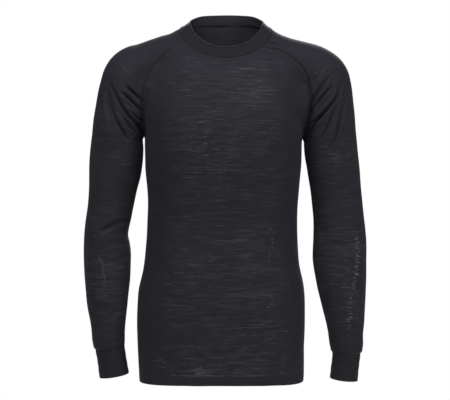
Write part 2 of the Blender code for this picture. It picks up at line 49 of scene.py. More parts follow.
FACES = {"front": -1, "back": 1}        # which way each one looks, along y
BODY = np.array((
    # height, middle, half width, front, back, squareness of the section
    (-730, -5, 162, 101, 107, 4.4), (-692, -5, 162.2, 104.5, 108.5, 4.2),
    (-636, -5.6, 164.8, 110, 112, 3.2), (-564, -6, 166.8, 112, 114, 2.7),
    (-516, -5.3, 164.5, 111, 110, 2.5), (-468, -4.6, 154.8, 107.5, 101, 2.45),
    (-420, -4, 150.2, 105, 93, 2.4), (-372, -2.9, 149.1, 104.5, 90, 2.4),
    (-324, -1.8, 150.8, 109, 95, 2.4), (-276, -1.8, 154.6, 115, 103, 2.4),
    (-228, -1.2, 156.6, 119.5, 109, 2.4), (-196, -0.6, 157.4, 119.5, 111.5, 2.4),
    (-160, 0, 156, 113.5, 112, 2.4), (-124, 0, 149, 103.5, 109, 2.35),
    (-92, 1, 136, 93, 103.5, 2.3), (-62, 3, 121, 78.5, 96, 2.25),
    (-36, 4, 108, 66, 86.5, 2.2), (-14, 4, 98, 60, 77.5, 2.15),
    (4, 4.5, 85.5, 57, 70.5, 2.1), (18, 4.8, 73.2, 54, 66, 2.1),
    (40, 5.5, 60, 50, 61, 2.1),
))
# Each sleeve's sections along its middle line: across, forward/back, height, half sizes.
RIGHT_SLEEVE = np.array((
    (-52, 2, -36, 40, 46), (-84, 2, -45.6, 41.5, 46),
    (-112, 2, -53.2, 43.5, 47), (-136, 2, -65.5, 47, 49),
    (-160, 1, -78, 51, 52), (-180.5, 0, -91, 56.6, 56),
    (-188.5, 0, -113, 58.5, 58), (-196.5, 0, -141, 57.5, 60),
    (-203, 0, -168, 55, 61), (-208.6, 0, -190, 52.6, 61),
    (-212.8, 0, -211, 50.4, 60), (-214, 0, -240, 53.1, 58),
    (-217, -1, -276, 52.4, 55), (-222.8, -3, -324, 47.2, 50),
    (-229.7, -6, -371.7, 44.2, 48), (-234.3, -9, -407.4, 43.4, 47),
    (-231.9, -12, -443, 46.7, 46), (-231.8, -15, -478.6, 46, 45),
    (-231.3, -19, -525.8, 42, 42), (-229.5, -24, -572.8, 35.5, 36.5),
    (-226.6, -28, -619.6, 29.6, 32), (-220.9, -31, -654.7, 28.2, 28.8),
    (-216.5, -33, -683, 29.3, 29), (-211, -35, -720, 29.5, 29.2),
))
LEFT_SLEEVE = np.array((
    (58, 2, -40, 37, 45), (86, 2, -49, 40, 46),
    (106, 2, -54.5, 44, 47), (128, 2, -65.2, 48.2, 49),
    (151, 1, -73.5, 51, 52), (173, 0, -82.8, 53.5, 55),
    (190.6, 0, -97.4, 57.2, 57), (197.5, 0, -123, 58, 59),
    (201.5, 0, -146, 57, 60), (205.5, 0, -168, 55.5, 61),
    (209, 0, -192, 54, 61), (212.2, 0, -218, 53.3, 60),
    (213.5, 0, -240, 53.1, 58), (218.3, -1, -276, 51.6, 56),
    (223.7, -3, -323.9, 50.1, 52), (228.5, -6, -371.7, 50.6, 50),
    (229.9, -11, -419.3, 52.9, 50), (229.4, -14, -442.9, 53.5, 50),
    (231.8, -21, -489.9, 49.8, 48), (235.2, -28, -536.6, 43.6, 43),
    (238.9, -35, -583.1, 36.8, 37), (240, -39, -615, 31.6, 32),
    (240.3, -42, -637, 27.8, 28.5), (236, -46, -675.6, 27, 27),
    (234.6, -47.5, -690, 27.5, 27.2), (231, -50, -725, 27.8, 27.3),
))
# How far body and sleeve melt into each other, by height.
BLEND = np.array(((-260, 3), (-226, 4.5), (-212, 7), (-198, 15), (-180, 26),
                  (-155, 38), (-115, 46), (-70, 32), (60, 28)))
# The neck's seam and the band's fold, by angle from the front round to the back.
NECK_MIDDLE = (4.5, -5)
SEAM_LINE = (89.5, 73.0, 71.0, 0)       # half width, front, back, and its height's column
FOLD_LINE = (73.0, 65.0, 65.0, 1)
NECK = np.array(((-25, -56.5, -33.8), (0, -62.5, -39.8), (25, -56.5, -33.8), (45, -43.8, -21),
                 (60, -30.5, -7.6), (75, -15, 7.8), (90, 0.5, 15.5), (110, 7.4, 23.5),
                 (135, 14.8, 32.5), (160, 15.8, 36.3), (180, 15.8, 37.3),
                 (200, 15.8, 36.3)))    # angle, seam height, fold height
UNDERARM = {"right": (-160, -211), "left": (157.6, -218)}
RAGLAN = {      # across and height, up from the underarm
    ("front", "right"): ((-161.5, -190), (-162.3, -166), (-160.7, -143), (-157.1, -120),
                         (-146.5, -93), (-136, -74), (-118.2, -54.5), (-98, -37.5)),
    ("front", "left"): ((158.8, -208), (163, -192), (167.6, -170), (169.2, -148), (167.2, -124),
                        (159.5, -92), (146.5, -72.5), (128.5, -56.5), (110, -44.5),
                        (90, -42.5)),
    ("back", "right"): ((-163.5, -188), (-163, -160), (-156.5, -128), (-144, -96),
                        (-125, -62), (-99, -28), (-75, -2)),
    ("back", "left"): ((158.6, -208), (162, -190), (164, -164), (159.5, -130), (148, -98),
                       (130, -64), (106, -30), (88, -6)),
}
NECK_JOINS = {"right": (-69.4, -138), "left": (50.3, 127)}      # front and back, in degrees
OUTSIDE = 220.0             # farther forward or back than any cloth
SEARCH = 12.0               # how far below the underarm the gap's top is looked for
FAR = 1e3                   # more than any distance on the garment


def cubic(value, slope, following, next_slope, gap, t):
    """A share t of the way over a gap between two values: the cubic with these end slopes."""
    return ((value * (1 + 2 * t) + slope * gap * t) * (1 - t) ** 2
            + (following * (3 - 2 * t) - next_slope * gap * (1 - t)) * t ** 2)


def smooth_rows(key, rows, at):
    """Rows read between their keys: cubics whose slopes come from both sides."""
    slope = np.gradient(rows, key, axis=0)
    at = np.clip(at, key[0], key[-1])
    i = np.clip(np.searchsorted(key, at) - 1, 0, len(key) - 2)
    gap = (key[i + 1] - key[i])[..., None]
    return cubic(rows[i], slope[i], rows[i + 1], slope[i + 1], gap, (at - key[i])[..., None] / gap)


def read(table, at):
    """A table's other columns, where its first one has this value."""
    return smooth_rows(table[:, 0], table[:, 1:], at)


def lengths_along(points):
    """Distance along each line of points, starting at 0; the last axis but one runs along it."""
    steps = np.linalg.norm(np.diff(points, axis=-2), axis=-1)
    return np.concatenate((np.zeros_like(steps[..., :1]), np.cumsum(steps, axis=-1)), axis=-1)


def smooth_line(line, shares):
    """A line of points read at shares of its length."""
    line = np.asarray(line, float)
    key = lengths_along(line)
    return smooth_rows(key, line, shares * key[-1])


def straight_line(at, key, line):
    """A line of points read between its keys, straight from each to the next."""
    return np.stack([np.interp(at, key, part) for part in line.T], axis=-1)


def unit(vectors):
    """Vectors at length 1."""
    return vectors / np.maximum(np.linalg.norm(vectors, axis=-1, keepdims=True), 1e-9)


class SleeveLine:
    """A sleeve's elliptical sections read at any distance along its middle line."""

    def __init__(self, rows):
        self.rows = rows
        self.side = np.sign(rows[-1, 0])
        self.key = lengths_along(rows[:, :3])
        self.fine = np.linspace(0, self.key[-1], 101)
        self.samples = smooth_rows(self.key, rows, self.fine)

    def at(self, along):
        """Middle, direction, the square-across direction towards the body, and half sizes."""
        row, ahead, behind = (smooth_rows(self.key, self.rows, along + step)
                              for step in (0, 1, -1))
        direction = unit((ahead - behind)[..., :3])
        inward = -self.side * unit(np.cross(direction, (0, 1, 0)))
        return row[..., :3], direction, inward, row[..., 3], row[..., 4]

    def where(self, height):
        """Distance along the line at which the arm's part of it has this height."""
        return np.interp(-height, -self.samples[:, 2], self.fine)

    def around(self, along, angle, out=0):
        """Points round the middle line: one half size times the angle's cosine inwards, the
        other times its sine forwards, each moved out."""
        middle, _, inward, half, depth = (part[:, None] for part in self.at(along))
        return (middle + ((half + out) * np.cos(angle))[..., None] * inward
                - ((depth + out) * np.sin(angle))[..., None] * np.array((0, 1, 0)))

    def distance(self, p):
        """Signed distance from the sleeve's face: the least over its short stretches, each
        an ellipsoid-ended tube, as (r - 1) r / |slope of r| with r the scaled distance."""
        a, b = self.samples[:-1], self.samples[1:]
        run = (b - a)[:, :3]
        away = p[:, None] - a[:, :3]
        share = np.clip((away * run).sum(-1) / (run ** 2).sum(-1), 0, 1)[..., None]
        away = away - share * run
        size = a[:, 3:] * (1 - share) + b[:, 3:] * share
        along = unit(run)
        beyond = (away * along).sum(-1)
        sizes = size[..., (0, 1, 0)]
        parts = np.stack(((away * unit(np.cross(along, (0, 1, 0)))).sum(-1),
                          away[..., 1] - beyond * along[:, 1], beyond), axis=-1) / sizes
        ratio = np.linalg.norm(parts, axis=-1)
        steep = np.linalg.norm(parts / sizes, axis=-1)
        return ((ratio - 1) * ratio / np.maximum(steep, 1e-6)).min(axis=1)


SLEEVES = {"right": SleeveLine(RIGHT_SLEEVE), "left": SleeveLine(LEFT_SLEEVE)}


def form(points):
    """Signed distance from the cloth's outer face: the lower of the body's superellipse
    distance and the sleeves' distances, rounded off by the blend's reach."""
    p = points.reshape(-1, 3)
    middle, half, front, back, square = read(BODY, p[:, 2]).T
    depth = np.where(p[:, 1] < 0, front, back)
    across = np.maximum(np.abs(p[:, 0] - middle) / half, 1e-6)
    forward = np.maximum(np.abs(p[:, 1]) / depth, 1e-6)
    ratio = (across ** square + forward ** square) ** (1 / square)
    steep = ratio ** (1 - square) * np.hypot(across ** (square - 1) / half,
                                             forward ** (square - 1) / depth)
    value = (ratio - 1) / np.maximum(steep, 1e-6)
    reach = read(BLEND, p[:, 2])[:, 0]
    for sleeve in SLEEVES.values():
        near = p[:, 0] * sleeve.side > 0
        arm = np.full(len(p), FAR)
        arm[near] = sleeve.distance(p[near])
        close = np.maximum(reach - np.abs(value - arm), 0) / reach
        value = np.minimum(value, arm) - close ** 2 * reach / 4
    return value.reshape(points.shape[:-1])


def form_slope(points):
    """The form's slope in x, y and z, from a quarter of a millimetre either way."""
    step = 0.25
    parts = [form(points + step * axis) - form(points - step * axis) for axis in np.eye(3)]
    return np.stack(parts, axis=-1) / (2 * step)


def settle(points, rounds=6, most=12.0):
    """Points moved straight down or up the form's slope until they lie on the cloth."""
    for _ in range(rounds):
        slope = form_slope(points)
        move = -slope * (form(points) / (slope ** 2).sum(-1))[..., None]
        length = np.linalg.norm(move, axis=-1, keepdims=True)
        points = points + move * np.minimum(1, most / np.maximum(length, 1e-9))
    return points

HALVINGS = 14


def first_cloth(starts, direction, reach, steps=50):
    """Where lines from outside the garment first meet the cloth, by halving."""
    direction = np.asarray(direction, float)
    along = np.linspace(0, reach, steps)
    value = form(starts[:, None] + along[:, None] * direction)
    hit = np.argmax(value < 0, axis=1)
    low, high = along[hit - 1], along[hit]
    for _ in range(HALVINGS):
        middle = (low + high) / 2
        inside = form(starts + middle[:, None] * direction) < 0
        low, high = np.where(inside, low, middle), np.where(inside, middle, high)
    return starts + high[:, None] * direction


def on_face(face, across, height, steps=50):
    """The cloth seen from the front or the back at these places across and up."""
    starts = np.stack((across, np.full_like(across, FACES[face] * OUTSIDE), height), axis=-1)
    return first_cloth(starts.reshape(-1, 3), (0, -FACES[face], 0), OUTSIDE, steps)


def from_front(angles):
    """How far round from the front an angle is, 0 to 180 degrees."""
    return np.abs((angles + 180) % 360 - 180)


def neck_points(angles, line):
    """The neck's seam or the band's fold: half an ellipse in front and half behind, at a
    height read from the neck's table."""
    half, front, back, column = line
    ahead = np.cos(np.radians(angles))
    return np.stack((NECK_MIDDLE[0] + half * np.sin(np.radians(angles)),
                     NECK_MIDDLE[1] - np.where(ahead > 0, front, back) * ahead,
                     read(NECK, from_front(angles))[..., column]), axis=-1)


def neck_seam(angles):
    """The seam of the neck band, on the cloth."""
    return settle(neck_points(np.asarray(angles, float), SEAM_LINE))


def underarm(side):
    """Where the side seam, sleeve seam and raglan seams meet: the top of the armpit gap."""
    across, height = UNDERARM[side]
    starts = np.zeros((41, 3)) + (across, 0, height - SEARCH)
    starts[:, 0] += np.linspace(-SEARCH / 3, SEARCH / 3, len(starts))
    tops = first_cloth(starts[form(starts) > 0], (0, 0, 1), 3 * SEARCH)
    return tops[np.argmax(tops[:, 2])]


UNDERARMS = {side: underarm(side) for side in SLEEVES}

# Grid lines. Coarse rows and columns fix a panel's form; fine ones carry its creases.
LOWER_ROWS = 25
CAP_ROWS = np.concatenate(((0, 0.012, 0.036), np.linspace(0, 1, 17)[1:]))
CAP_FINE = np.concatenate((np.linspace(0, 3, 7)[:-1], np.linspace(3, len(CAP_ROWS) - 1, 96)))
CAP_SHARES = np.interp(CAP_FINE, np.arange(len(CAP_ROWS)), CAP_ROWS)
COLUMNS = 33
CROWDING = 0.6              # how strongly the body's columns crowd to its seams at the neck
SEAM_FADE, NECK_FADE = 30.0, 24.0       # how far a true seam's shape reaches into the cloth
NORMAL_FADE = 5.0
EDGE_COLUMNS = np.array((0, 0.9, 1.8, 2.7, 3.6, 4.8, 6.5, 9.0))     # out from a seam
STITCHED_COLUMNS = (3, -4)
HEM_ROWS = np.array((0, 0.8, 2, 4, 7, 10, 12.2, 13.4, 14.2, 15, 15.8, 17.4, 18.2, 19, 19.8, 21.4,
                     24.5))
STITCHED_ROWS = (8, 13)


def raglan_seam(face, side, shares):
    """One raglan seam on the cloth, at shares of its length from the underarm to the neck."""
    start = UNDERARMS[side]
    end = neck_seam([NECK_JOINS[side][face == "back"]])[0]
    way = (start[::2], *RAGLAN[face, side], end[::2])
    return np.vstack((start, on_face(face, *smooth_line(way, shares[1:-1]).T), end))


def side_seam(side, shares):
    """A side seam, at shares of its height from the hem to the underarm."""
    top = UNDERARMS[side]
    height = HEM + (top[2] - HEM) * shares[:-1]
    middle, half = read(BODY, height)[:, :2].T
    seam = settle(np.stack((middle + half * np.sign(top[0]), np.zeros_like(height), height), 1))
    seam[:, 2] = height
    return np.vstack((seam, top))


def neck_angles(piece, columns):
    """The angles of a piece's columns along the neck's seam."""
    even = np.linspace(0, 1, columns)
    if piece in NECK_JOINS:
        first, last = NECK_JOINS[piece]
        return first + (last - first) * even
    (right_front, right_back), (left_front, left_back) = NECK_JOINS["right"], NECK_JOINS["left"]
    first, last = (right_front, left_front) if piece == "front" else (right_back + 360, left_back)
    crowded = (1 - np.cos(np.pi * even)) / 2
    return first + (last - first) * (even + (crowded - even) * CROWDING)


def cap_patch(bottom, top, left, right):
    """A grid filling four edges: each edge's shape fades out towards the opposite one."""
    u = np.linspace(0, 1, len(bottom))[None, :, None]
    key = lengths_along(left) / lengths_along(left)[-1]
    even = np.linspace(0, 1, len(left))
    v = key[:, None, None] + (even - key)[:, None, None] * np.sin(np.pi * u)
    across = (1 - v) * bottom[None] + v * top[None]
    sides = [straight_line(v[..., 0], key, side) for side in (left, right)]
    upward = (1 - u) * sides[0] + u * sides[1]
    corners = ((1 - u) * ((1 - v) * bottom[0] + v * top[0])
               + u * ((1 - v) * bottom[-1] + v * top[-1]))
    return across + upward - corners


def between(lines, place):
    """Points on each line at fractional places along it: cubics through its points whose
    slopes fit the distance along the line. Lines run along axis 1."""
    step = np.maximum(np.diff(lengths_along(lines), axis=1), 1e-6)[..., None]
    rise = np.diff(lines, axis=1) / step
    slope = np.empty_like(lines)
    slope[:, 1:-1] = ((rise[:, :-1] * step[:, 1:] + rise[:, 1:] * step[:, :-1])
                      / (step[:, 1:] + step[:, :-1]))
    slope[:, 0], slope[:, -1] = 2 * rise[:, 0] - slope[:, 1], 2 * rise[:, -1] - slope[:, -2]
    place = np.broadcast_to(place, (len(lines), np.shape(place)[-1]))[..., None]
    i = np.clip(place.astype(int), 0, lines.shape[1] - 2)
    ends = [np.take_along_axis(values, i + end, 1) for end in (0, 1) for values in (lines, slope)]
    return cubic(*ends, np.take_along_axis(step, i, 1), place - i)


def fine_panel(coarse, rows, columns, seams, angles):
    """A coarse grid made fine. Rows are read between the coarse ones, then each row is read
    at columns crowded to its two seams; the true seams and the true neck line replace the
    outer lines, and the difference fades out into the cloth. Gives points, outward normals,
    distances from the first seam, the second and the neck, and each column's neck angle."""
    grid = between(coarse.transpose(1, 0, 2), rows).transpose(1, 0, 2)
    key = lengths_along(grid)
    whole = key[:, -1:]
    middle = EDGE_COLUMNS[-1] + (whole - 2 * EDGE_COLUMNS[-1]) * np.linspace(0, 1, columns)[1:-1]
    at = np.concatenate((np.broadcast_to(EDGE_COLUMNS, (len(key), len(EDGE_COLUMNS))), middle,
                         whole - EDGE_COLUMNS[::-1]), axis=1)
    place = np.stack([np.interp(a, k, np.arange(len(k))) for a, k in zip(at, key)])
    grid = between(grid, place)
    neck_angle = np.interp(place[-1], np.arange(len(angles)), angles)
    top = neck_seam(neck_angle)
    above = lengths_along(grid.transpose(1, 0, 2)[:, ::-1])[:, ::-1].T
    edges = ((seams[0][:, None], np.s_[:, :1], at, SEAM_FADE),
             (seams[1][:, None], np.s_[:, -1:], whole - at, SEAM_FADE),
             (top, -1, above, NECK_FADE))
    for true, index, away, reach in edges:
        grid = grid + (true - grid[index]) * np.clip(1 - away / reach, 0, 1)[..., None] ** 2
    grid[:, 0], grid[:, -1] = seams
    normals = unit(np.cross(np.gradient(grid, axis=1), np.gradient(grid, axis=0)))
    normals *= np.sign((normals[-1] * form_slope(top)).sum())
    for true, _, away, _ in edges:
        share = np.exp(-(away / NORMAL_FADE) ** 2)[..., None]
        normals = unit(normals * (1 - share) + unit(form_slope(true)) * share)
    return grid, normals, at, whole - at, above, neck_angle


# Creases: troughs as seen from the front or the back, with a low ridge on either side. They run
# from the armpits out over the sleeves, and across the elbows. A negative depth is a ridge.
CREASES = {             # depth, half width, (across, height) along it
    "front": (
        (6.4, 4.6, ((-225, -108), (-211, -135), (-203, -148), (-191, -167), (-174, -187),
                    (-160, -209))),
        (5.6, 4.8, ((-193, -115), (-182, -125), (-173, -133), (-160, -147))),
        (4.9, 3.9, ((-202, -127), (-184, -142), (-174, -152), (-159, -168))),
        (3.1, 3.2, ((-185, -164), (-174, -174), (-158, -188))),
        (5.9, 4.6, ((-221, -153), (-216, -168), (-209, -185), (-198, -203), (-187, -224))),
        (3.6, 3.4, ((-196, -178), (-186, -192), (-172, -207))),
        (6.4, 9.5, ((-163, -226), (-161, -192), (-158, -158), (-150, -118))),
        (-2.3, 5, ((-235, -130), (-233, -159), (-227, -192))),
        (3.4, 7.5, ((-227, -116), (-225, -148), (-220, -190))),
        (1.8, 4.5, ((72, -33), (98, -33), (120, -41))),
        (4.4, 6.6, ((-180, -380), (-205, -383), (-246, -405))),
        (1.6, 9, ((-186, -430), (-214, -424), (-250, -436))),
        (5.4, 5.6, ((206, -98), (189, -119), (175, -142), (169, -163), (166, -192))),
        (5, 3.8, ((213, -115), (193, -135), (179, -153), (167, -173))),
        (6.8, 4.7, ((230, -110), (217, -140), (204, -158), (192, -171), (177, -190), (161, -218))),
        (4.5, 4, ((220, -150), (211, -172), (203, -192), (188, -223))),
        (5.7, 4.8, ((240, -130), (230, -166), (222, -202), (207, -243))),
        (2.9, 3.3, ((197, -166), (182, -180), (166, -191))),
        (3.6, 3.6, ((185, -193), (174, -209), (163, -228))),
        (5.6, 8.5, ((160, -234), (165, -200), (168, -160), (166, -132), (160, -106))),
        (-1.5, 3.4, ((168, -112), (180, -92), (190, -75))),
        (-1.5, 3.4, ((180, -106), (195, -88), (211, -73))),
        (-1.2, 3.2, ((194, -103), (207, -90), (221, -78))),
        (-2.1, 4.5, ((225, -117), (213, -139), (195, -162))),
        (2.2, 15, ((184, -378), (190, -398), (196, -420))),
        (1.8, 10, ((182, -430), (214, -424), (254, -440))),
        (1.8, 20, ((-138, -310), (-132, -334), (-134, -360))),
        (1.4, 18, ((136, -300), (130, -330), (133, -362))),
    ),
    "back": (
        (6, 4.8, ((-230, -106), (-206, -140), (-188, -168), (-160, -202))),
        (5.5, 4.8, ((-238, -146), (-214, -190), (-186, -232))),
        (4.7, 4.2, ((-208, -109), (-186, -136), (-160, -171))),
        (3.6, 3.6, ((-200, -180), (-184, -200), (-170, -217))),
        (3.1, 3.4, ((-196, -146), (-180, -164), (-160, -184))),
        (3.9, 6.5, ((-165, -220), (-163, -180), (-158, -140), (-148, -106))),
        (4.4, 6.6, ((-182, -372), (-212, -366), (-250, -378))),
        (1.8, 9, ((-186, -408), (-214, -416), (-252, -410))),
        (6, 4.8, ((232, -110), (208, -143), (190, -172), (161, -208))),
        (5.5, 4.8, ((240, -154), (216, -198), (190, -240))),
        (4.4, 4.2, ((206, -109), (186, -140), (163, -169))),
        (3.4, 3.6, ((206, -175), (188, -204), (174, -221))),
        (2.9, 3.4, ((200, -148), (184, -166), (164, -188))),
        (3.9, 6.5, ((160, -232), (163, -192), (164, -150), (154, -112))),
        (4.4, 6.6, ((184, -392), (216, -390), (258, -404))),
        (1.8, 9, ((188, -430), (218, -440), (256, -432))),
        (2, 22, ((-60, -330), (0, -346), (66, -328))),
        (1.4, 18, ((-44, -386), (6, -396), (58, -382))),
        (1.6, 22, ((-118, -150), (-84, -186), (-52, -232))),
        (1.6, 22, ((120, -152), (88, -190), (54, -238))),
    ),
}
CREASE_FADE = 26.0          # creases fade out over this depth before the sleeve's sides
# Slow unevenness of cloth that hangs free: height, and the lengths of its waves across and up.
UNEVEN = ((0.45, 97, 210, 0.4), (0.35, 61, 143, 2.1), (0.22, 171, 83, 4.0), (0.16, 43, 57, 1.2))
UNEVEN_DEEP = 131           # and the length of all of them forward or back


def relief(p):
    """How far the cloth stands out from its form: less each crease, depth times the root of
    the sine of the way along it times (1 - 1.2 s) exp(-s) with s the squared distance in half
    widths, plus a few slow waves."""
    out, flat = np.zeros(p.shape[:-1]), p[..., ::2]
    for face, creases in CREASES.items():
        facing = np.clip(FACES[face] * p[..., 1] / CREASE_FADE, 0, 1)
        facing = facing ** 2 * (3 - 2 * facing)
        for depth, half, line in creases:
            low, high = np.min(line, 0) - 3 * half, np.max(line, 0) + 3 * half
            box = ((flat > low) & (flat < high)).all(-1)
            if not box.any():
                continue
            fine = smooth_line(line, np.linspace(0, 1, 17))
            run, away = np.diff(fine, axis=0), flat[box][:, None] - fine[:-1]
            share = np.clip((away * run).sum(-1) / (run ** 2).sum(-1), 0, 1)
            away = np.linalg.norm(away - share[..., None] * run, axis=-1)
            near = np.argmin(away, axis=1)
            along = (near + share[np.arange(len(near)), near]) / len(run)
            square = (away.min(axis=1) / half) ** 2
            out[box] -= (depth * np.sin(np.pi * along) ** 0.5 * facing[box]
                         * (1 - 1.2 * square) * np.exp(-square))
    for height, across, up, start in UNEVEN:
        out += height * (np.sin(2 * np.pi * (p[..., 0] / across + p[..., 1] / UNEVEN_DEEP) + start)
                         * np.sin(2 * np.pi * p[..., 2] / up + 2 * start))
    return out


def humps(away, *rows):
    """Soft humps and dips by distance: each its height times exp(-d d), with d counted from
    its middle in its widths."""
    return sum(height * np.exp(-((away - middle) / width) ** 2) for height, middle, width in rows)


# The cloth at a seam dips to it, swells beside it, and dips again under the topstitching, less
# so close to the neck, where the body dips to the band. The hem swells, dips under its two rows
# of stitches and stands up between them.
SEAM_HUMPS = ((-1.1, 0, 1.3), (-0.5, 2.7, 0.8), (0.4, 5.4, 2.0))
SEAM_HELD = (0.7, 0, 2.5)
NECK_DIP = (-0.35, 0, 0.8)
HEM_HUMPS = ((0.35, 8, 6), (-0.35, 14.2, 0.8), (-0.35, 19, 0.8), (0.3, 16.6, 1.3))


def seam_relief(away, below_neck):
    """A seam's humps, held back close to the neck's seam."""
    return (1 - humps(below_neck, SEAM_HELD)) * humps(away, *SEAM_HUMPS)


def set_back(edge, neighbours, normals):
    """How far each point of a free edge moves into its own piece, to open half the seam."""
    run = np.diff(edge, axis=0)
    into = unit(np.cross((normals[1:] + normals[:-1]) / 2, run))
    inside = (neighbours - edge)[1:] + (neighbours - edge)[:-1]
    into *= np.sign((into * inside).sum(-1))[:, None]
    before, after = np.vstack((into[:1], into)), np.vstack((into, into[-1:]))
    share = np.maximum(1 + (before * after).sum(-1), 0.5)[:, None]
    return SEAM_GAP / 2 * (before + after) / share


def neck_mitre(angles, panel_normals):
    """The band's outward directions along the neck's seam, and the way through the cloth
    there: halfway between panel and band, and longer by the slant."""
    fine = neck_seam(np.stack((angles - 0.5, angles + 0.5)))
    rise = neck_points(angles, FOLD_LINE) - fine.mean(0)
    band = unit(np.cross(fine[1] - fine[0], rise))
    band *= np.sign((band * panel_normals).sum(-1))[:, None]
    halfway = unit(band + panel_normals)
    return band, halfway / (halfway * panel_normals).sum(-1)[:, None]


def add_piece(name, points, faces, material, slot="jersey", node=None, marks=(), uv=None,
              sharp=None):
    """A mesh object from points in millimetres, carried by the root body. Marks are numbers
    at its points, uv is given at its faces' corners, and edges are sharp from an angle."""
    mesh = bpy.data.meshes.new(name)
    mesh.from_pydata((points.reshape(-1, 3) * 0.001).tolist(), [], faces.tolist())
    if uv is not None:
        layer = mesh.uv_layers.new(name="cloth")
        layer.data.foreach_set("uv", (uv * 0.001).astype(np.float32).ravel())
    for key, value in dict(marks).items():
        mark = mesh.attributes.new(key, "FLOAT", "POINT")
        mark.data.foreach_set("value", value.astype(np.float32))
    mesh.shade_smooth()
    if sharp:
        mesh.set_sharp_from_angle(angle=np.radians(sharp))
    mesh.materials.append(material)
    piece = bpy.data.objects.new(name, mesh)
    bpy.context.scene.collection.objects.link(piece)
    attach(piece, "root")
    if node:
        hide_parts(node)
    return piece


def strips(lines, following):
    """Four-sided faces between lines of points and the ones following them."""
    corners = (lines[..., :-1], lines[..., 1:], following[..., 1:], following[..., :-1])
    return np.stack(corners, axis=-1).reshape(-1, 4)


def tubes(rings):
    """Faces between closed rings of points and the next ones."""
    rings = np.hstack((rings, rings[:, :1]))
    return strips(rings[:-1], rings[1:])


def closed_piece(name, points, quads, same, uv, marks, **looks):
    """A closed piece: each point is joined to the one that it is the same as, and the faces
    are turned outwards, where their volume is positive."""
    used, faces = np.unique(same[quads], return_inverse=True)
    faces, points = faces.reshape(-1, 4), points.reshape(-1, 3)[used]
    a, b, c, d = np.moveaxis(points[faces], 1, 0)
    if (a * np.cross(b, c) + a * np.cross(c, d)).sum() < 0:
        faces, quads = faces[:, ::-1], quads[:, ::-1]
    marks = {key: value[used] for key, value in marks.items()}
    return add_piece(name, points, faces, marks=marks, uv=uv[quads.ravel()], **looks)


def shell(name, node, outer, inner, joined, uv, slubs):
    """Two grids made one closed wall: outer face, inner face and a rim round its free edges.
    The first rows, up to the joined ones, are tubes whose last column is the first again."""
    at = np.arange(outer[..., 0].size).reshape(outer.shape[:2])
    face, free = strips(at[:-1], at[1:]), slice(max(joined - 1, 0), None)
    rims = [strips(edge, edge + at.size)
            for edge in (at[0, ::-1], at[-1], at[free, 0], at[free, -1][::-1])]
    same = np.arange(2 * at.size)
    for grid in (at, at + at.size):
        same[grid[:joined, -1]] = grid[:joined, 0]
    marks = {"slubs": np.tile(slubs.ravel(), 2), "wrong_side": np.repeat((0.0, 1.0), at.size)}
    quads = np.vstack((face, face[:, ::-1] + at.size, *rims))
    return closed_piece(name, np.stack((outer, inner)), quads, same,
                        np.tile(uv.reshape(-1, 2), (2, 1)), marks, material=JERSEY_CLOTH,
                        node=node, sharp=50)


def spindles(name, middles, sides, ups, widths, flatness, **looks):
    """Six-sided spindles, one along each row of middles: a ring round each middle, its half
    width across and a share of it up, with two faces over either end."""
    turn = np.linspace(0, 2 * np.pi, 7)[:-1, None]
    ring = np.cos(turn) * sides[:, :, None] + flatness * np.sin(turn) * ups[:, :, None]
    at = np.arange(middles.shape[1] * 6).reshape(-1, 6)
    one = np.vstack((tubes(at), at[0][[[5, 4, 1, 0], [4, 3, 2, 1]]],
                     at[-1][[[0, 1, 4, 5], [1, 2, 3, 4]]]))
    quads = one + at.size * np.arange(len(middles))[:, None, None]
    return add_piece(name, middles[:, :, None] + widths[..., None, None] * ring,
                     quads.reshape(-1, 4), **looks)


CLEAR = 0.06                # between the cloth's inner face and its seam allowances
STITCH, STITCH_GAP = 2.5, 0.5
STITCH_LIFT = 0.08          # how far the thread's middle lies above the cloth
STITCH_ENDS = np.array((-0.5, -0.34, 0.34, 0.5)) * STITCH
STITCH_GIRTH = np.array((0.35, 1.0, 1.0, 0.35)) * 0.25
STITCH_FLATNESS = 0.6


def stitch_rows(name, lines):
    """Rows of topstitching: along each line of points with normals, one short thread after
    another, each a spindle lying on the cloth."""
    rows = []
    for line, normals in lines:
        key = lengths_along(line)
        centre = np.arange(STITCH, key[-1] - STITCH / 2, STITCH + STITCH_GAP)
        spot = straight_line(centre, key, line)
        up = unit(straight_line(centre, key, normals))
        ahead = straight_line(centre + 0.5, key, line) - spot
        ahead = unit(ahead - up * (ahead * up).sum(-1, keepdims=True))[:, None]
        up = up[:, None]
        rows.append((spot[:, None] + STITCH_LIFT * up + STITCH_ENDS[:, None] * ahead,
                     np.cross(up, ahead), up))
    middles, sides, ups = (np.concatenate(parts) for parts in zip(*rows))
    return spindles(name, middles, sides, ups, STITCH_GIRTH, STITCH_FLATNESS, material=THREAD)


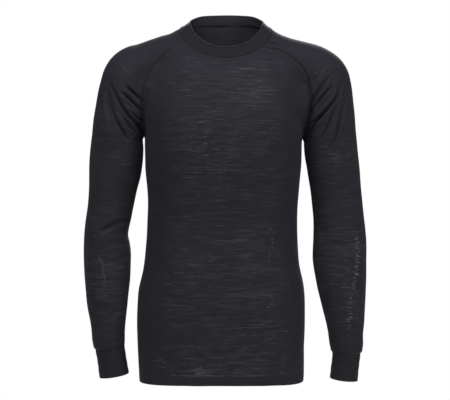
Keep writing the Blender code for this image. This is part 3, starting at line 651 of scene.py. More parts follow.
def seam_allowances(name, lines, material, half_width=2.6, half_height=0.4, marks=()):
    """Overlocked seam allowances: a flat eight-sided section carried along each seam, inside
    the cloth. Each line gives points on the outer face, normals, and whether it is closed."""
    turn = np.linspace(0, 2 * np.pi, 9)[:-1, None]
    points, quads, count = [], [], 0
    for line, normals, closed in lines:
        ahead = np.gradient(line, axis=0)
        if closed:
            ahead[0] = ahead[-1] = line[1] - line[-2]
        side = unit(np.cross(normals, ahead))
        middle = line - normals * (JERSEY + half_height + CLEAR)
        ring = (middle[:, None] + half_width * np.cos(turn) * side[:, None]
                + half_height * np.sin(turn) * normals[:, None])
        ring = ring[:-1] if closed else ring
        at = np.arange(len(ring) * 8).reshape(-1, 8) + count
        quads.append(tubes(np.vstack((at, at[:1])) if closed else at))
        if not closed:
            low, high = at[0], at[-1]
            quads += [[(low[7 - k], low[6 - k], low[k + 1], low[k]) for k in range(3)],
                      [(high[k], high[k + 1], high[6 - k], high[7 - k]) for k in range(3)]]
        points.append(ring.reshape(-1, 3))
        count += at.size
    return add_piece(name, np.concatenate(points), np.vstack(quads), material, marks=marks)


def sewn_panel(name, node, surface, normals, angles, thickness, joined, first, uv, slubs, rows=()):
    """A panel made a wall, its free edges set back by half a seam and its neck edge slanted
    to meet the band's, and its topstitching: beside both seams from its first row at the
    underarm, and along these rows."""
    outer, free = surface.copy(), slice(max(joined - 1, 0), None)
    for edge, beside in ((0, 1), (-1, -2)):
        outer[free, edge] += set_back(surface[free, edge], surface[free, beside],
                                      normals[free, edge])
    outer[-1] += set_back(surface[-1], surface[-2], normals[-1])
    through = normals.copy()
    through[-1] = neck_mitre(angles, normals[-1])[1]
    piece = shell(name, node, outer, outer - through * thickness, joined, uv, slubs)
    lines = [np.s_[first:, column] for column in STITCHED_COLUMNS] + list(rows)
    return piece, stitch_rows(name + "_stitches", [(surface[at], normals[at]) for at in lines])


class Finish:
    """A material under construction: add() makes a node from its settings and its inputs,
    which are sockets to link from or plain values, and gives one of its outputs."""

    def __init__(self, name):
        self.material = bpy.data.materials.new(name)
        self.material.use_nodes = True
        self.tree = self.material.node_tree

    def fill(self, node, inputs):
        """The node's inputs, linked to a socket or set to a plain value."""
        for key, value in dict(inputs).items():
            if isinstance(value, bpy.types.NodeSocket):
                self.tree.links.new(value, node.inputs[key])
            else:
                node.inputs[key].default_value = value

    def add(self, kind, inputs=(), out=0, **settings):
        made = self.tree.nodes.new("ShaderNode" + kind)
        for key, value in settings.items():
            setattr(made, key, value)
        self.fill(made, inputs)
        return made.outputs[out]

    def maths(self, operation, value, *others):
        """The value combined with each of the others in turn."""
        for other in others:
            value = self.add("Math", {0: value, 1: other}, operation=operation)
        return value

    def times(self, *values):
        return self.maths("MULTIPLY", *values)

    def plus(self, *values):
        return self.maths("ADD", *values)

    def mix(self, share, *colours):
        """A colour this share of the way between two."""
        first, second = ((*c, 1) if isinstance(c, tuple) else c for c in colours)
        return self.add("Mix", {"Factor": share, 6: first, 7: second}, out=2, data_type="RGBA")

    def mark(self, name):
        """The numbers with this name at the piece's points."""
        return self.add("Attribute", out=2, attribute_name=name)

    def band(self, value, low, high, start=0.0, end=1.0):
        """The value's way from low to high, as a number from start to end."""
        return self.add("MapRange", {"Value": value, "From Min": low, "From Max": high,
                                     "To Min": start, "To Max": end})

    def noise(self, cloth, across, up, shift, detail=2.0, roughness=0.5):
        """Noise with this many lumps to the metre across and up the cloth."""
        moved = self.add("Mapping", {"Vector": cloth, "Location": shift,
                                     "Scale": (across, up, 1.0)})
        return self.add("TexNoise", {"Vector": moved, "Scale": 1.0, "Detail": detail,
                                     "Roughness": roughness})

    def done(self, inputs, strength=0, depth=0, height=None):
        """The finished material: the shader's inputs, and a bump where there is a height."""
        if height:
            inputs["Normal"] = self.add("Bump", {"Strength": strength, "Distance": depth,
                                                 "Height": height})
        self.fill(self.tree.nodes["Principled BSDF"], inputs)
        return self.material


CHARCOAL = (0.0215, 0.0205, 0.0262)
CHARCOAL_LIGHT = (0.0215 * 1.16, 0.0205 * 1.15, 0.0262 * 1.14)
SLUB_GREY = (0.105, 0.104, 0.112)
SOFT_SHEEN = {"Specular IOR Level": 0.18, "Sheen Weight": 0.05, "Sheen Roughness": 0.5,
              "Sheen Tint": (0.75, 0.75, 0.85, 1)}


def slub_jersey():
    """Charcoal jersey whose yarn has slubs: thin lighter streaks along the courses, thick in
    patches, over a fine knit grain, with a low soft sheen, and paler on its wrong side."""
    f = Finish("slub jersey")
    cloth = f.add("UVMap", uv_map="cloth")
    wander = f.times(f.plus(f.noise(cloth, 11, 11, (3.1, 7.7, 0), 1.0), -0.5), 0.0035)
    bent = f.add("VectorMath", {0: cloth, 1: f.add("CombineXYZ", {1: wander})}, operation="ADD")
    fine = f.band(f.noise(bent, 32, 250, (0, 0, 0.3), 2.0, 0.6), 0.47, 0.70)
    long = f.band(f.noise(bent, 15, 210, (2.0, 8.1, 6.6), 2.0, 0.6), 0.48, 0.70)
    bright = f.band(f.noise(bent, 34, 300, (5.3, 1.9, 2.2), 2.0, 0.6), 0.555, 0.70)
    patch = f.band(f.noise(cloth, 11, 36, (1.7, 4.4, 5.1)), 0.42, 0.60)
    thick = f.band(f.noise(cloth, 13, 24, (6.1, 2.4, 3.7)), 0.36, 0.64, 0.45, 1.3)
    broken = f.band(f.noise(cloth, 130, 330, (8.8, 3.3, 1.4), 1.0), 0.42, 0.60, 0.35, 1.0)
    specks = f.band(f.noise(cloth, 230, 330, (6.8, 2.3, 9.4), 1.0), 0.70, 0.78)
    amount = f.times(f.plus(f.times(fine, 0.20), f.times(long, 0.15)), thick)
    amount = f.plus(amount, f.times(bright, patch, broken, 0.45), f.times(specks, patch, 0.3))
    amount = f.times(amount, f.mark("slubs"))
    grain = f.noise(cloth, 900, 1100, (0, 0, 0), 2.0, 0.6)
    mottle = f.noise(cloth, 38, 55, (2.0, 6.0, 4.0), 3.0, 0.55)
    base = f.mix(f.band(mottle, 0.3, 0.7), CHARCOAL, CHARCOAL_LIGHT)
    base = f.mix(f.times(f.mark("wrong_side"), 0.38), base, SLUB_GREY)
    return f.done({"Base Color": f.mix(amount, base, SLUB_GREY),
                   "Roughness": f.band(grain, 0.3, 0.7, 0.72, 0.84), **SOFT_SHEEN},
                  0.35, 0.0004, f.plus(f.times(grain, 0.5), f.times(amount, 0.8)))


def thread():
    """Charcoal sewing thread, a shade darker than the cloth."""
    f = Finish("charcoal thread")
    twist = f.add("TexNoise", {"Vector": f.add("TexCoord", out=3), "Scale": 2600.0})
    colour = f.mix(twist, (0.013, 0.0125, 0.017), (0.022, 0.021, 0.027))
    return f.done({"Base Color": colour, "Roughness": 0.6})


def slub_yarn():
    """The slubs' own loose, paler yarn, mixed with charcoal by each slub's lightness."""
    f = Finish("slub yarn")
    lumps = f.noise(f.add("TexCoord", out=3), 420, 420, (0, 0, 0))
    lumps = f.band(lumps, 0.35, 0.65, 0.55, 1.0)
    share = f.times(f.mark("lightness"), lumps, 0.47)
    return f.done({"Base Color": f.mix(share, CHARCOAL, (0.22, 0.217, 0.228)), "Roughness": 0.7,
                   "Specular IOR Level": 0.2}, 0.3, 0.0002, lumps)


JERSEY_CLOTH = slub_jersey()
THREAD = thread()
SLUB_YARN = slub_yarn()


# Where the slubs come thick or thin: across, height, half sizes, how much more of them. They
# thin out towards the sides, which paints shade where the cloth rounds away, and at the waist,
# and few show on the hem below its seam.
SLUB_PATCHES = ((-46, -668, 30, 9, 4.8), (40, -668, 22, 9, 4.4), (4, -640, 70, 16, 0.4),
                (-62, -594, 36, 24, -0.7), (4, -560, 60, 20, -0.25))
SIDES_PAINTED_SHADE = (-128, 136)
WAIST_THIN = (-0.35, -365, 40)
HEM_THIN = HEM + 19.5
PATTERN_START = {"front": 0, "back": 700, "right": 1500, "left": 2300}
ABOVE_HEM = 27.5            # where a body panel's even rows begin, above the hem's own
BODY_ROWS, BODY_COLUMNS = 134, 118


def body_panel(face):
    """The front or the back: superellipse sections below the underarms, and above them a
    patch between the two raglan seams and the neck."""
    lower_shares = np.linspace(0, 1, LOWER_ROWS)
    right, left = (side_seam(side, lower_shares) for side in SLEEVES)
    turn = np.linspace(0, np.pi, COLUMNS)
    u = (1 - np.cos(turn)) / 2
    height = right[:, 2:] * (1 - u) + left[:, 2:] * u
    middle, half, front, back, square = np.moveaxis(read(BODY, height), -1, 0)
    across = middle - half * np.sign(np.cos(turn)) * np.abs(np.cos(turn)) ** (2 / square)
    depth = FACES[face] * (front if face == "front" else back)
    lower = settle(np.stack((across, depth * np.sin(turn) ** (2 / square), height), axis=-1))
    lower[:, 0], lower[:, -1] = right, left
    angles = neck_angles(face, COLUMNS)
    edges = [raglan_seam(face, side, CAP_ROWS) for side in SLEEVES]
    upper = settle(cap_patch(lower[-1], neck_seam(angles), *edges))
    upper[:, 0], upper[:, -1] = edges
    whole = UNDERARMS["right"][2] - HEM
    shares = np.concatenate((HEM_ROWS, np.linspace(ABOVE_HEM, whole, BODY_ROWS))) / whole
    rows = np.concatenate((shares * (LOWER_ROWS - 1), LOWER_ROWS - 1 + CAP_FINE[1:]))
    seams = [np.vstack((side_seam(side, shares), raglan_seam(face, side, CAP_SHARES)[1:]))
             for side in SLEEVES]
    coarse = np.concatenate((lower, upper[1:]))
    return *fine_panel(coarse, rows, BODY_COLUMNS, seams, angles), shares * whole


def build_body(face):
    """A body panel with its hem, seams and topstitching."""
    base, normals, from_right, from_left, above, angles, drops = body_panel(face)
    across, height = base[..., 0], base[..., 2]
    low = np.concatenate((drops, np.full(len(base) - len(drops), FAR)))[:, None]
    out = (relief(base) + seam_relief(np.minimum(from_right, from_left), above)
           + humps(above, NECK_DIP) + humps(low, *HEM_HUMPS))
    surface = base + normals * out[..., None]
    thickness = JERSEY + (HEM_WALL - JERSEY) * np.clip((HEM_DEPTH + 1 - low) / 2, 0, 1)
    centre = lengths_along(base)
    uv = np.stack((centre - centre[:, -1:] / 2 + PATTERN_START[face], height + 700), axis=-1)
    # Fewer slubs towards the sides: painted shade where the cloth rounds away.
    reach = np.minimum(across - SIDES_PAINTED_SHADE[0], SIDES_PAINTED_SHADE[1] - across) / 60
    slubs = np.clip(reach, 0.12, 1) * np.clip((above - 3) / 20, 0, 1)
    slubs *= 1 + 0.1 * np.clip((-590 - height) / 60, 0, 1) + humps(height, WAIST_THIN)
    for middle, level, wide, tall, extra in SLUB_PATCHES:
        slubs += extra * np.exp(-((across - middle) / wide) ** 2 - ((height - level) / tall) ** 2)
    slubs = np.maximum(slubs, 0.05) * np.where(height < HEM_THIN, 0.3, 1)
    first = len(drops) - 1
    made = sewn_panel(face + "_panel", face, surface, normals, angles, thickness[..., None], 0,
                      first, uv, slubs, STITCHED_ROWS)
    spans = [slice(first, -3)]
    if face == "front":
        spans.append(slice(np.searchsorted(drops, HEM_DEPTH + 5), first))
    seam_allowances(face + "_panel_allowances", [(surface[span, edge], normals[span, edge], False)
                                                 for span in spans for edge in (0, -1)], THREAD)
    return made


# Slubs thick enough to stand out of the cloth: across, height, length, lightness. A few more
# are strung one above another where the same stretch of yarn comes round again and again.
BODY_SLUBS = (
    (-63, -101, 19, 0.6), (-49, -110, 8, 0.8), (-96, -114, 6, 0.6), (-74, -125, 27, 0.9),
    (-65, -137, 23, 0.8), (-95, -127, 8, 0.6), (-20, -130, 25, 0.7), (-5, -128, 25, 0.6),
    (31, -125, 13, 1), (19, -132, 15, 1), (82, -127, 46, 0.7), (86, -134, 27, 1),
    (50, -82, 21, 0.5), (44, -89, 34, 0.5), (28, -98, 25, 0.7), (68, -99, 10, 0.5),
    (1, -109, 17, 0.6), (-4, -114, 23, 0.5), (-33, -159, 13, 1), (46, -156, 30, 0.8),
    (62, -161, 13, 0.6), (-12, -173, 29, 0.6), (34, -175, 19, 0.6), (-61, -182, 15, 0.7),
    (-7, -183, 21, 0.7), (79, -185, 40, 0.6), (-43, -189, 17, 0.9), (37, -192, 25, 1),
    (66, -190, 32, 0.7), (-65, -201, 38, 0.5), (-80, -216, 15, 0.6), (-40, -216, 27, 0.7),
    (-9, -216, 34, 0.5), (36, -216, 11, 0.8), (91, -216, 27, 0.5), (-36, -228, 8, 1),
    (-15, -241, 15, 0.9), (-69, -233, 29, 0.5), (-34, -251, 11, 1.3), (80, -266, 15, 0.6),
    (-61, -278, 30, 0.7), (-15, -278, 61, 0.7), (91, -278, 15, 1), (47, -279, 13, 0.6),
    (64, -274, 17, 0.5), (-49, -284, 19, 1), (-5, -284, 17, 1), (-70, -294, 27, 0.9),
    (-59, -301, 11, 0.5),
    (-11, -386, 15, 0.7), (-2, -414, 34, 0.6), (31, -413, 30, 0.8), (-36, -461, 50, 0.5),
    (0, -462, 23, 0.5), (-89, -477, 21, 0.9), (-24, -476, 25, 0.6), (6, -477, 34, 0.5),
    (37, -472, 13, 0.7), (61, -476, 15, 0.6), (-65, -487, 4, 1), (-59, -498, 4, 1),
    (-28, -500, 6, 0.8), (-7, -500, 6, 0.7), (48, -497, 4, 0.7), (121, -500, 17, 0.6),
    (-107, -538, 30, 0.7), (-82, -538, 34, 0.8), (-99, -528, 15, 0.6), (-102, -548, 13, 0.5),
    (1, -538, 13, 1), (19, -539, 23, 0.5), (53, -540, 15, 0.8), (69, -539, 15, 0.6),
    (61, -532, 23, 0.5), (42, -579, 23, 0.7), (58, -575, 6, 1), (61, -580, 23, 0.7),
    (88, -587, 30, 0.5), (119, -589, 13, 1), (106, -588, 13, 0.6), (35, -591, 17, 0.6),
    (103, -603, 4, 0.8), (-27, -615, 4, 0.8), (40, -619, 19, 0.6), (115, -615, 25, 0.6),
    (-112, -619, 19, 0.5), (-121, -643, 10, 1), (-113, -647, 6, 0.7), (-130, -645, 15, 0.5),
    (25, -645, 34, 0.7), (-14, -639, 36, 0.5), (57, -632, 30, 0.5), (123, -638, 17, 0.6),
    (-116, -657, 11, 0.6), (-18, -659, 29, 0.6), (52, -659, 42, 0.6), (27, -664, 30, 0.6),
    (-82, -672, 34, 0.6), (-41, -669, 36, 1), (4, -672, 53, 0.8), (46, -672, 30, 1),
    (113, -669, 11, 0.9), (123, -670, 10, 0.5),
)
BODY_STRINGS = (        # the string's line, how many slubs, their lengths, lightness
    (((-27, -178), (-27, -188), (-29, -199), (-38, -211), (-39, -220), (-36, -230), (-44, -237)),
     14, 6, 1),
    (((-4, -287), (-8, -294), (-11, -300)), 5, 6, 0.55),
    (((90, -392), (95, -405), (93, -418), (92, -432), (88, -443), (86, -457), (84, -472)),
     26, 3.5, 0.9),
    (((96, -514), (92, -525), (88, -531), (94, -537), (82, -543)), 16, 4.5, 0.8),
    (((-107, -525), (-103, -538), (-105, -548)), 8, 5, 0.6),
    (((113, -634), (113, -671)), 15, 3, 0.7),
    (((-101, -654), (-101, -671)), 7, 3, 0.6),
    (((-58, -186), (-66, -206), (-56, -228), (-50, -250)), 14, 15, 0.35),
    (((30, -640), (-10, -652), (40, -664), (0, -670)), 26, 24, 0.35),
    (((-88, -672.1), (-30, -672.2), (58, -672.1)), 15, 20, 0.85),
    (((110, -560), (96, -590), (104, -630)), 14, 18, 0.4),
    (((-104, -480), (-92, -500), (-106, -560)), 14, 15, 0.35),
)
SLUB_STATIONS = np.array((0, 0.1, 0.3, 0.55, 0.8, 0.93, 1))
SLUB_GIRTH = np.array((0.1, 0.7, 1, 0.8, 0.95, 0.55, 0.1))
FACING_LEAST = 0.25         # how far the cloth under a slub has to face its own side
NEAR_CLOTH = 0.5            # a slub's points lie this close to the cloth's form, or it is left out
SLUB_WANDER = 0.16          # how far it strays up or down from each station to the next
SLUB_WIDTHS = (0.4, 0.62)   # half widths, least and most
SLUB_LIFT, SLUB_FLATNESS = 0.05, 0.42
STRING_SCATTER = 1.9        # lengths and lightness on a string vary by this factor


def strung(strings, random):
    """The slubs of each string: evenly spaced along its line and a little scattered, the
    lengths and the lightness each within the scatter's factor of the one given."""
    rows = []
    for line, count, length, light in strings:
        place = np.linspace(0, 1, count) + random.normal(0, 0.45 / count, count)
        way = smooth_line(line, place)
        factors = STRING_SCATTER ** random.uniform(-1, 1, (2, count))
        way[:, 0] += random.normal(0, 0.5 * length, count)
        rows.append(np.column_stack((way, length * factors[0], light * factors[1])))
    return np.vstack(rows)


def raised_slubs(name, face, rows, seed):
    """Each slub is a spindle along a course of the knit, lying half sunk in the cloth: its
    girth swells and thins along it, and it wanders a little up and down. One that would
    run off its face of the cloth, or round its side, is left out."""
    random = np.random.default_rng(seed)
    across = rows[:, :1] + rows[:, 2:3] * (SLUB_STATIONS - 0.5)
    wander = np.cumsum(random.normal(0, SLUB_WANDER, across.shape), axis=1)
    cloth = on_face(face, across, rows[:, 1:2] + wander, 24)
    up = unit(form_slope(cloth))
    on_cloth = (np.abs(form(cloth)) < NEAR_CLOTH) & (FACES[face] * up[:, 1] > FACING_LEAST)
    kept = on_cloth.reshape(across.shape).all(axis=1)
    width = random.uniform(*SLUB_WIDTHS, len(rows))[kept, None] * SLUB_GIRTH
    cloth, up = ((cloth + up * relief(cloth)[:, None]).reshape(*across.shape, 3)[kept],
                 up.reshape(*across.shape, 3)[kept])
    lightness = rows[kept, 3:] * (0.35 + 0.65 * SLUB_GIRTH)
    side = unit(np.cross(up, unit(np.gradient(cloth, axis=1))))
    return spindles(name, cloth + SLUB_LIFT * up, side, up, width, SLUB_FLATNESS,
                    material=SLUB_YARN, marks={"lightness": np.repeat(lightness.ravel(), 6)})


def other_face(rows):
    """The same sort of slubs on the hidden face: turned left to right and shifted, so that
    they don't repeat the front's places."""
    across = 6 - 0.92 * rows[:, 0]
    return np.column_stack((across, rows[:, 1] + 9 * np.sin(across / 23), rows[:, 2:]))


panels = {face: build_body(face) for face in FACES}
for face, number, flat, area in (("front", 1, (0.475, 0.68), 0.273),
                                 ("back", 2, (0.475, 0.72), 0.281)):
    slubs = np.vstack((BODY_SLUBS, strung(BODY_STRINGS, np.random.default_rng(10 + number))))
    slubs = raised_slubs(face + "_slubs", face, slubs if face == "front" else other_face(slubs),
                         20 + number)

# ------------------------------------------------------------------ sleeves
# Each sleeve is one piece of the same jersey: a tube with a single seam inside the arm, open
# above the underarm, where it is sewn between front and back right up to the neck band.
CUFFS = {"right": (-684.2, 59.0), "left": (-689.2, 55.0)}   # height of its end, its depth
# Above the cuff the sleeve stands outside it, bulges, and has small gathers all round. Its own
# seam dips, and so does its edge at the neck.
CUFF_HUMPS = ((1.4, 0, 9.0), (1.5, 16, 12))
GATHERS = ((0.5, 13, 0), (0.35, 21, 1))     # height, waves round the sleeve, start
GATHERED = (9, 11)          # how far above the cuff they are highest, and their reach
SLEEVE_SEAM = (-0.5, 0, 0.9)
NECK_HUMPS = ((0.3, 2.8, 1.2), (-0.8, 0, 0.9))
SLEEVE_ROWS, SLEEVE_COLUMNS = 165, 132


def round_shares(columns):
    """Columns round a sleeve or cuff, from its seam and back to it, 0 to 1."""
    even = np.linspace(0, 1, columns)
    return even + 0.3 * np.sin(4 * np.pi * even) / (4 * np.pi)


def sleeve_panel(side):
    """A sleeve: elliptical sections round its middle line, tilted where they meet the raglan
    seams, from the cuff's seam to the neck."""
    line = SLEEVES[side]
    share = round_shares(COLUMNS)
    start = line.where(UNDERARMS[side][2])
    end = line.where(CUFFS[side][0]) - CUFFS[side][1] - SEAM_GAP / 2
    drops = np.cumsum((0, 3, 6, 10, 14) + (19.5,) * 19 + (16, 12, 8))
    joined = len(drops)
    edges = [raglan_seam(face, side, CAP_ROWS) for face in FACES]
    angles = neck_angles(side, COLUMNS)
    top = neck_seam(angles)
    middle, direction = line.at(0)[:2]
    fine = np.linspace(start, (top[len(top) // 2] - middle) @ direction, 60)
    middle, _, inward, half, _ = line.at(fine)
    over = lengths_along(middle - inward * (half * 0.8)[:, None])
    even = np.linspace(0, over[-1], len(CAP_ROWS))[1:]
    along = np.concatenate(((start + (end - start) * drops / drops[-1])[::-1],
                            np.interp(even, over, fine)))
    middle, direction, inward, half, depth = line.at(along)
    turns = np.zeros((2, len(along))) + ((0,), (2 * np.pi,))
    lean = np.zeros((2, len(along)))
    for place, edge in enumerate(edges):
        away = edge - middle[joined - 1:]
        turn = np.arctan2(-away[:, 1] / depth[joined - 1:],
                          (away * inward[joined - 1:]).sum(-1) / half[joined - 1:])
        turns[place, joined:] = turn[1:] % (2 * np.pi)
        lean[place, joined:] = (away * direction[joined - 1:]).sum(-1)[1:]
    angle = turns[0][:, None] + (turns[1] - turns[0])[:, None] * share
    tilt = lean[0][:, None] * (1 - share) ** 3 + lean[1][:, None] * share ** 3
    grid = settle(line.around(along, angle) + tilt[..., None] * direction[:, None])
    grid[joined - 1:, 0], grid[joined - 1:, -1] = edges
    grid[-1] = top
    lower = np.linspace(0, joined - 1, SLEEVE_ROWS)
    rows = np.concatenate((lower, joined - 1 + CAP_FINE[1:]))
    tube = between(grid[:joined, :1].transpose(1, 0, 2), lower)[0]
    seams = [np.vstack((tube, raglan_seam(face, side, CAP_SHARES)[1:])) for face in FACES]
    up = end - np.interp(lower, np.arange(joined), along[:joined])
    return *fine_panel(grid, rows, SLEEVE_COLUMNS, seams, angles), up


def build_sleeve(side):
    """A sleeve with its seams, its topstitching and the small gathers above its cuff."""
    base, normals, from_seam, to_seam, above, angles, up = sleeve_panel(side)
    lower = np.concatenate((up, np.full(len(base) - len(up), FAR)))[:, None]
    joined, first = len(up), len(up) - 1
    normals[:joined, 0] = normals[:joined, -1] = unit(normals[:joined, 0] + normals[:joined, -1])
    turn = 2 * np.pi * from_seam / from_seam[:, -1:]
    gathers = sum(height * np.sin(waves * turn + start) for height, waves, start in GATHERS)
    seam = np.minimum(from_seam, to_seam)
    out = (relief(base) + humps(lower, (gathers, *GATHERED), *CUFF_HUMPS)
           + np.where(lower < FAR, humps(seam, SLEEVE_SEAM), seam_relief(seam, above))
           + humps(above, *NECK_HUMPS))
    out[:joined, -1] = out[:joined, 0]
    surface = base + normals * out[..., None]
    surface[:joined, -1] = surface[:joined, 0]
    run = lengths_along(base[:, base.shape[1] // 2])[:, None]
    uv = np.stack(np.broadcast_arrays(from_seam + PATTERN_START[side], run), axis=-1)
    across, height = np.abs(base[..., 0]), base[..., 2]
    # Slubs come thicker over the shoulder tops: partly the strings of slubs there, partly painted
    # light on the tops.
    slubs = (np.clip((-130 - height) / 60, 0.05, 0.5) + 0.35 * np.clip((-330 - height) / 100, 0, 1)
             + 0.6 * np.exp(-((across - 192) / 26) ** 2 - ((height + 88) / 26) ** 2))
    slubs *= np.clip((height + 640) / 80, 0.15, 1)
    made = sewn_panel(side + "_sleeve", "sleeve_" + side, surface, normals, angles, JERSEY,
                      joined, first, uv, slubs)
    seam_allowances(side + "_sleeve_allowances",
                    [(surface[2:first, 0], normals[2:first, 0], False),
                     (surface[0], normals[0], True)], THREAD)
    return made


SLEEVE_SLUBS = {
    "right": (
        (-220, -201, 14, 0.6), (-206, -242, 10, 0.5), (-201, -254, 12, 0.6), (-197, -260, 10, 0.5),
        (-226, -268, 14, 0.5), (-191, -268, 25, 0.9), (-252, -408, 8, 1), (-233, -405, 8, 0.6),
        (-251, -428, 10, 0.5), (-252, -456, 8, 0.8), (-238, -489, 22, 0.5), (-245, -499, 12, 0.5),
        (-226, -497, 14, 0.8), (-241, -514, 23, 0.6), (-241, -526, 20, 0.6), (-242, -556, 6, 1),
        (-224, -575, 6, 0.8),
    ),
    "left": (
        (230, -225, 10, 0.9), (192, -234, 23, 0.6), (210, -248, 18, 0.9), (223, -254, 12, 0.6),
        (221, -264, 20, 0.7), (207, -262, 12, 0.5), (194, -301, 16, 0.6), (208, -305, 22, 0.6),
        (238, -323, 10, 0.5), (240, -330, 6, 0.6), (205, -358, 8, 0.5), (211, -411, 16, 0.5),
        (239, -418, 16, 0.5), (220, -430, 14, 0.5), (203, -442, 16, 0.8), (216, -465, 25, 0.9),
        (213, -482, 20, 1), (230, -482, 14, 0.6), (246, -477, 20, 0.8), (215, -501, 16, 0.7),
        (230, -508, 14, 0.5), (242, -491, 23, 0.6), (238, -501, 22, 0.5), (245, -536, 18, 1),
        (245, -553, 14, 0.5), (240, -524, 18, 0.5),
    ),
}
SLEEVE_STRINGS = {
    "right": (
        (((-243, -447), (-237, -466), (-234, -486), (-232, -507)), 26, 4, 1.2),
        (((-243, -452), (-246, -480), (-240, -508), (-240, -528)), 15, 12, 0.4),
        (((-212, -246), (-200, -262), (-196, -270)), 9, 9, 0.45),
        (((-198, -74), (-190, -82), (-181, -90)), 7, 2.5, 0.7),
        (((-216, -102), (-206, -108), (-198, -116)), 7, 3, 0.45),
    ),
    "left": (
        (((259, -408), (260, -434), (259, -459), (256, -483), (251, -512)), 58, 5.5, 1.6),
        (((248, -520), (245, -542), (244, -563), (242, -587)), 22, 5, 1.4),
        (((238, -462), (230, -482), (240, -500), (238, -545)), 22, 14, 0.45),
        (((216, -250), (222, -262)), 8, 10, 0.5),
        (((172, -104), (184, -86), (191, -75)), 8, 2.5, 0.5),
        (((190, -97), (204, -82), (214, -72)), 9, 2.5, 0.6),
        (((206, -118), (214, -104), (224, -96)), 7, 2.5, 0.5),
    ),
}
HIDDEN_TOP = -190           # the hidden faces have slubs below this height

sleeves = {side: build_sleeve(side) for side in SLEEVES}
for side, number, flat, area in (("right", 0, (0.36, 0.70), 0.178),
                                 ("left", 1, (0.36, 0.72), 0.187)):
    random = np.random.default_rng(31 + number)
    shown = np.vstack((SLEEVE_SLUBS[side], strung(SLEEVE_STRINGS[side], random)))
    hidden = shown[shown[:, 1] < HIDDEN_TOP]
    hidden[:, 1] += 14 * np.sin(hidden[:, 0] / 9)
    samples = SLEEVES[side].samples
    hidden[:, 0] = 2 * np.interp(-hidden[:, 1], -samples[:, 2], samples[:, 0]) - hidden[:, 0]
    slubs = [raised_slubs(f"{side}_sleeve_{face}_slubs", face, rows, seed + 2 * number)
             for face, rows, seed in (("front", shown, 41), ("back", hidden, 42))]

# ------------------------------------------------------------------ neck band and cuffs
# Strips of the same yarn knitted closer and plain, folded in half lengthwise, so that each
# shows a soft folded edge, and sewn on double with an overlocked seam.
DOUBLED = 2.0
FOLD_TURNS = np.linspace(0, np.pi, 7)[1:-1]     # over the fold, from the outer face
BAND_PLAIN, BAND_LIGHT = (0.0142, 0.0137, 0.0170), (0.0164, 0.0158, 0.0194)
# The pale grey that the band's painted light and painted highlight mix towards, which also gives
# the cuffs their paler tone.
BAND_PALE_AND_PAINTED_LIGHT = (0.075, 0.074, 0.081)


def band_jersey():
    """Plain closer-knitted charcoal jersey, with fine wales. Its paleness_and_painted_light mark
    paints light over the band's inner face and the allowance strip and a highlight along the
    band's fold, and gives the cuffs their paler tone.
    """
    f = Finish("band jersey")
    cloth = f.add("UVMap", uv_map="cloth")
    grain = f.noise(cloth, 1300, 500, (0, 0, 0), 2.0, 0.6)
    mottle = f.noise(cloth, 60, 60, (4.0, 1.0, 2.0), 3.0, 0.6)
    plain = f.mix(f.band(mottle, 0.3, 0.7), BAND_PLAIN, BAND_LIGHT)
    return f.done({"Base Color": f.mix(f.mark("paleness_and_painted_light"), plain, BAND_PALE_AND_PAINTED_LIGHT),
                   "Roughness": f.band(grain, 0.3, 0.7, 0.7, 0.82), **SOFT_SHEEN},
                  0.3, 0.0003, grain)


BAND_CLOTH = band_jersey()


def ring_piece(name, node, grid, around, ups, paleness_and_painted_light):
    """A closed ring: lines of points round it, each joined to the next and the last to the
    first. The lines' last points are their first ones again."""
    at = np.arange(grid[..., 0].size).reshape(grid.shape[:2])
    same = np.arange(at.size)
    same[at[:, -1]] = at[:, 0]
    uv = np.stack(np.broadcast_arrays(around, ups[:, None]), -1).reshape(-1, 2)
    return closed_piece(name, grid, strips(at, np.roll(at, -1, axis=0)), same, uv,
                        {"paleness_and_painted_light": np.repeat(paleness_and_painted_light, at.shape[1])}, material=BAND_CLOTH,
                        slot="band_jersey", node=node, sharp=60)


BAND_SHARES = np.array((0, 0.03, 0.065, 0.1, 0.14, 0.19, 0.26, 0.36, 0.48, 0.6, 0.7, 0.77, 0.82,
                        0.86, 0.895, 0.93, 0.965, 1))


def folded_band(seam, rise, out, through, pull):
    """Lines of a strip folded double: up its outer face, over the fold and down its inner
    face. Seam points, the way up to the fold, the outward direction and the slant of the
    seam's own edge are given for each column. Both faces dip to the seam, and the outer one
    swells beside it and rolls out into a low bead along the fold, more so where it is pulled."""
    length = np.linalg.norm(rise, axis=-1, keepdims=True)
    up, top = rise / length, length - DOUBLED / 2
    share = BAND_SHARES[:, None, None]
    height = SEAM_GAP / 2 + (top - SEAM_GAP / 2) * share
    dip = humps(height, (0.5 + 0.5 * pull, 0, 0.9))
    hollow = -0.45 * np.sin(np.pi * share)
    swell = (hollow + humps(height, (0.35 + 0.9 * pull, 3.0, 1.7))
             + humps(top - height, (0.35, 0.5, 0.9), (-0.6 - 0.6 * pull, 2.8, 1.1)))
    outer = seam + up * height + out * (swell - dip)
    inner = (seam + up * height + out * (hollow - 0.25 * dip)
             - np.where(share == 0, through, out) * (DOUBLED - 0.45 * dip))
    turn = FOLD_TURNS[:, None, None]
    fold = (seam + up * (top + np.sin(turn) * DOUBLED / 2)
            + out * (np.cos(turn) - 1) * DOUBLED / 2)
    ups, reach = height.mean((1, 2)), length.mean()
    return (np.concatenate((outer, fold, inner[::-1])),
            np.concatenate((ups, np.full(len(turn), reach), 2 * reach - ups[::-1])))


NECK_PULL = (1, 84.0, 26.0)     # the band is pulled most over the shoulders, this far round
NECK_WAVES = ((0.3, 5, 1), (0.2, 9, 0))     # height, waves round the neck, start
STRIP_INSIDE = 0.2          # how far below the seam its allowance's middle lies
# The strip's half sizes, and painted light on it that softens the shadow line under it.
STRIP_HALVES, STRIP_PAINTED_LIGHT = (1.1, 0.2), 0.3
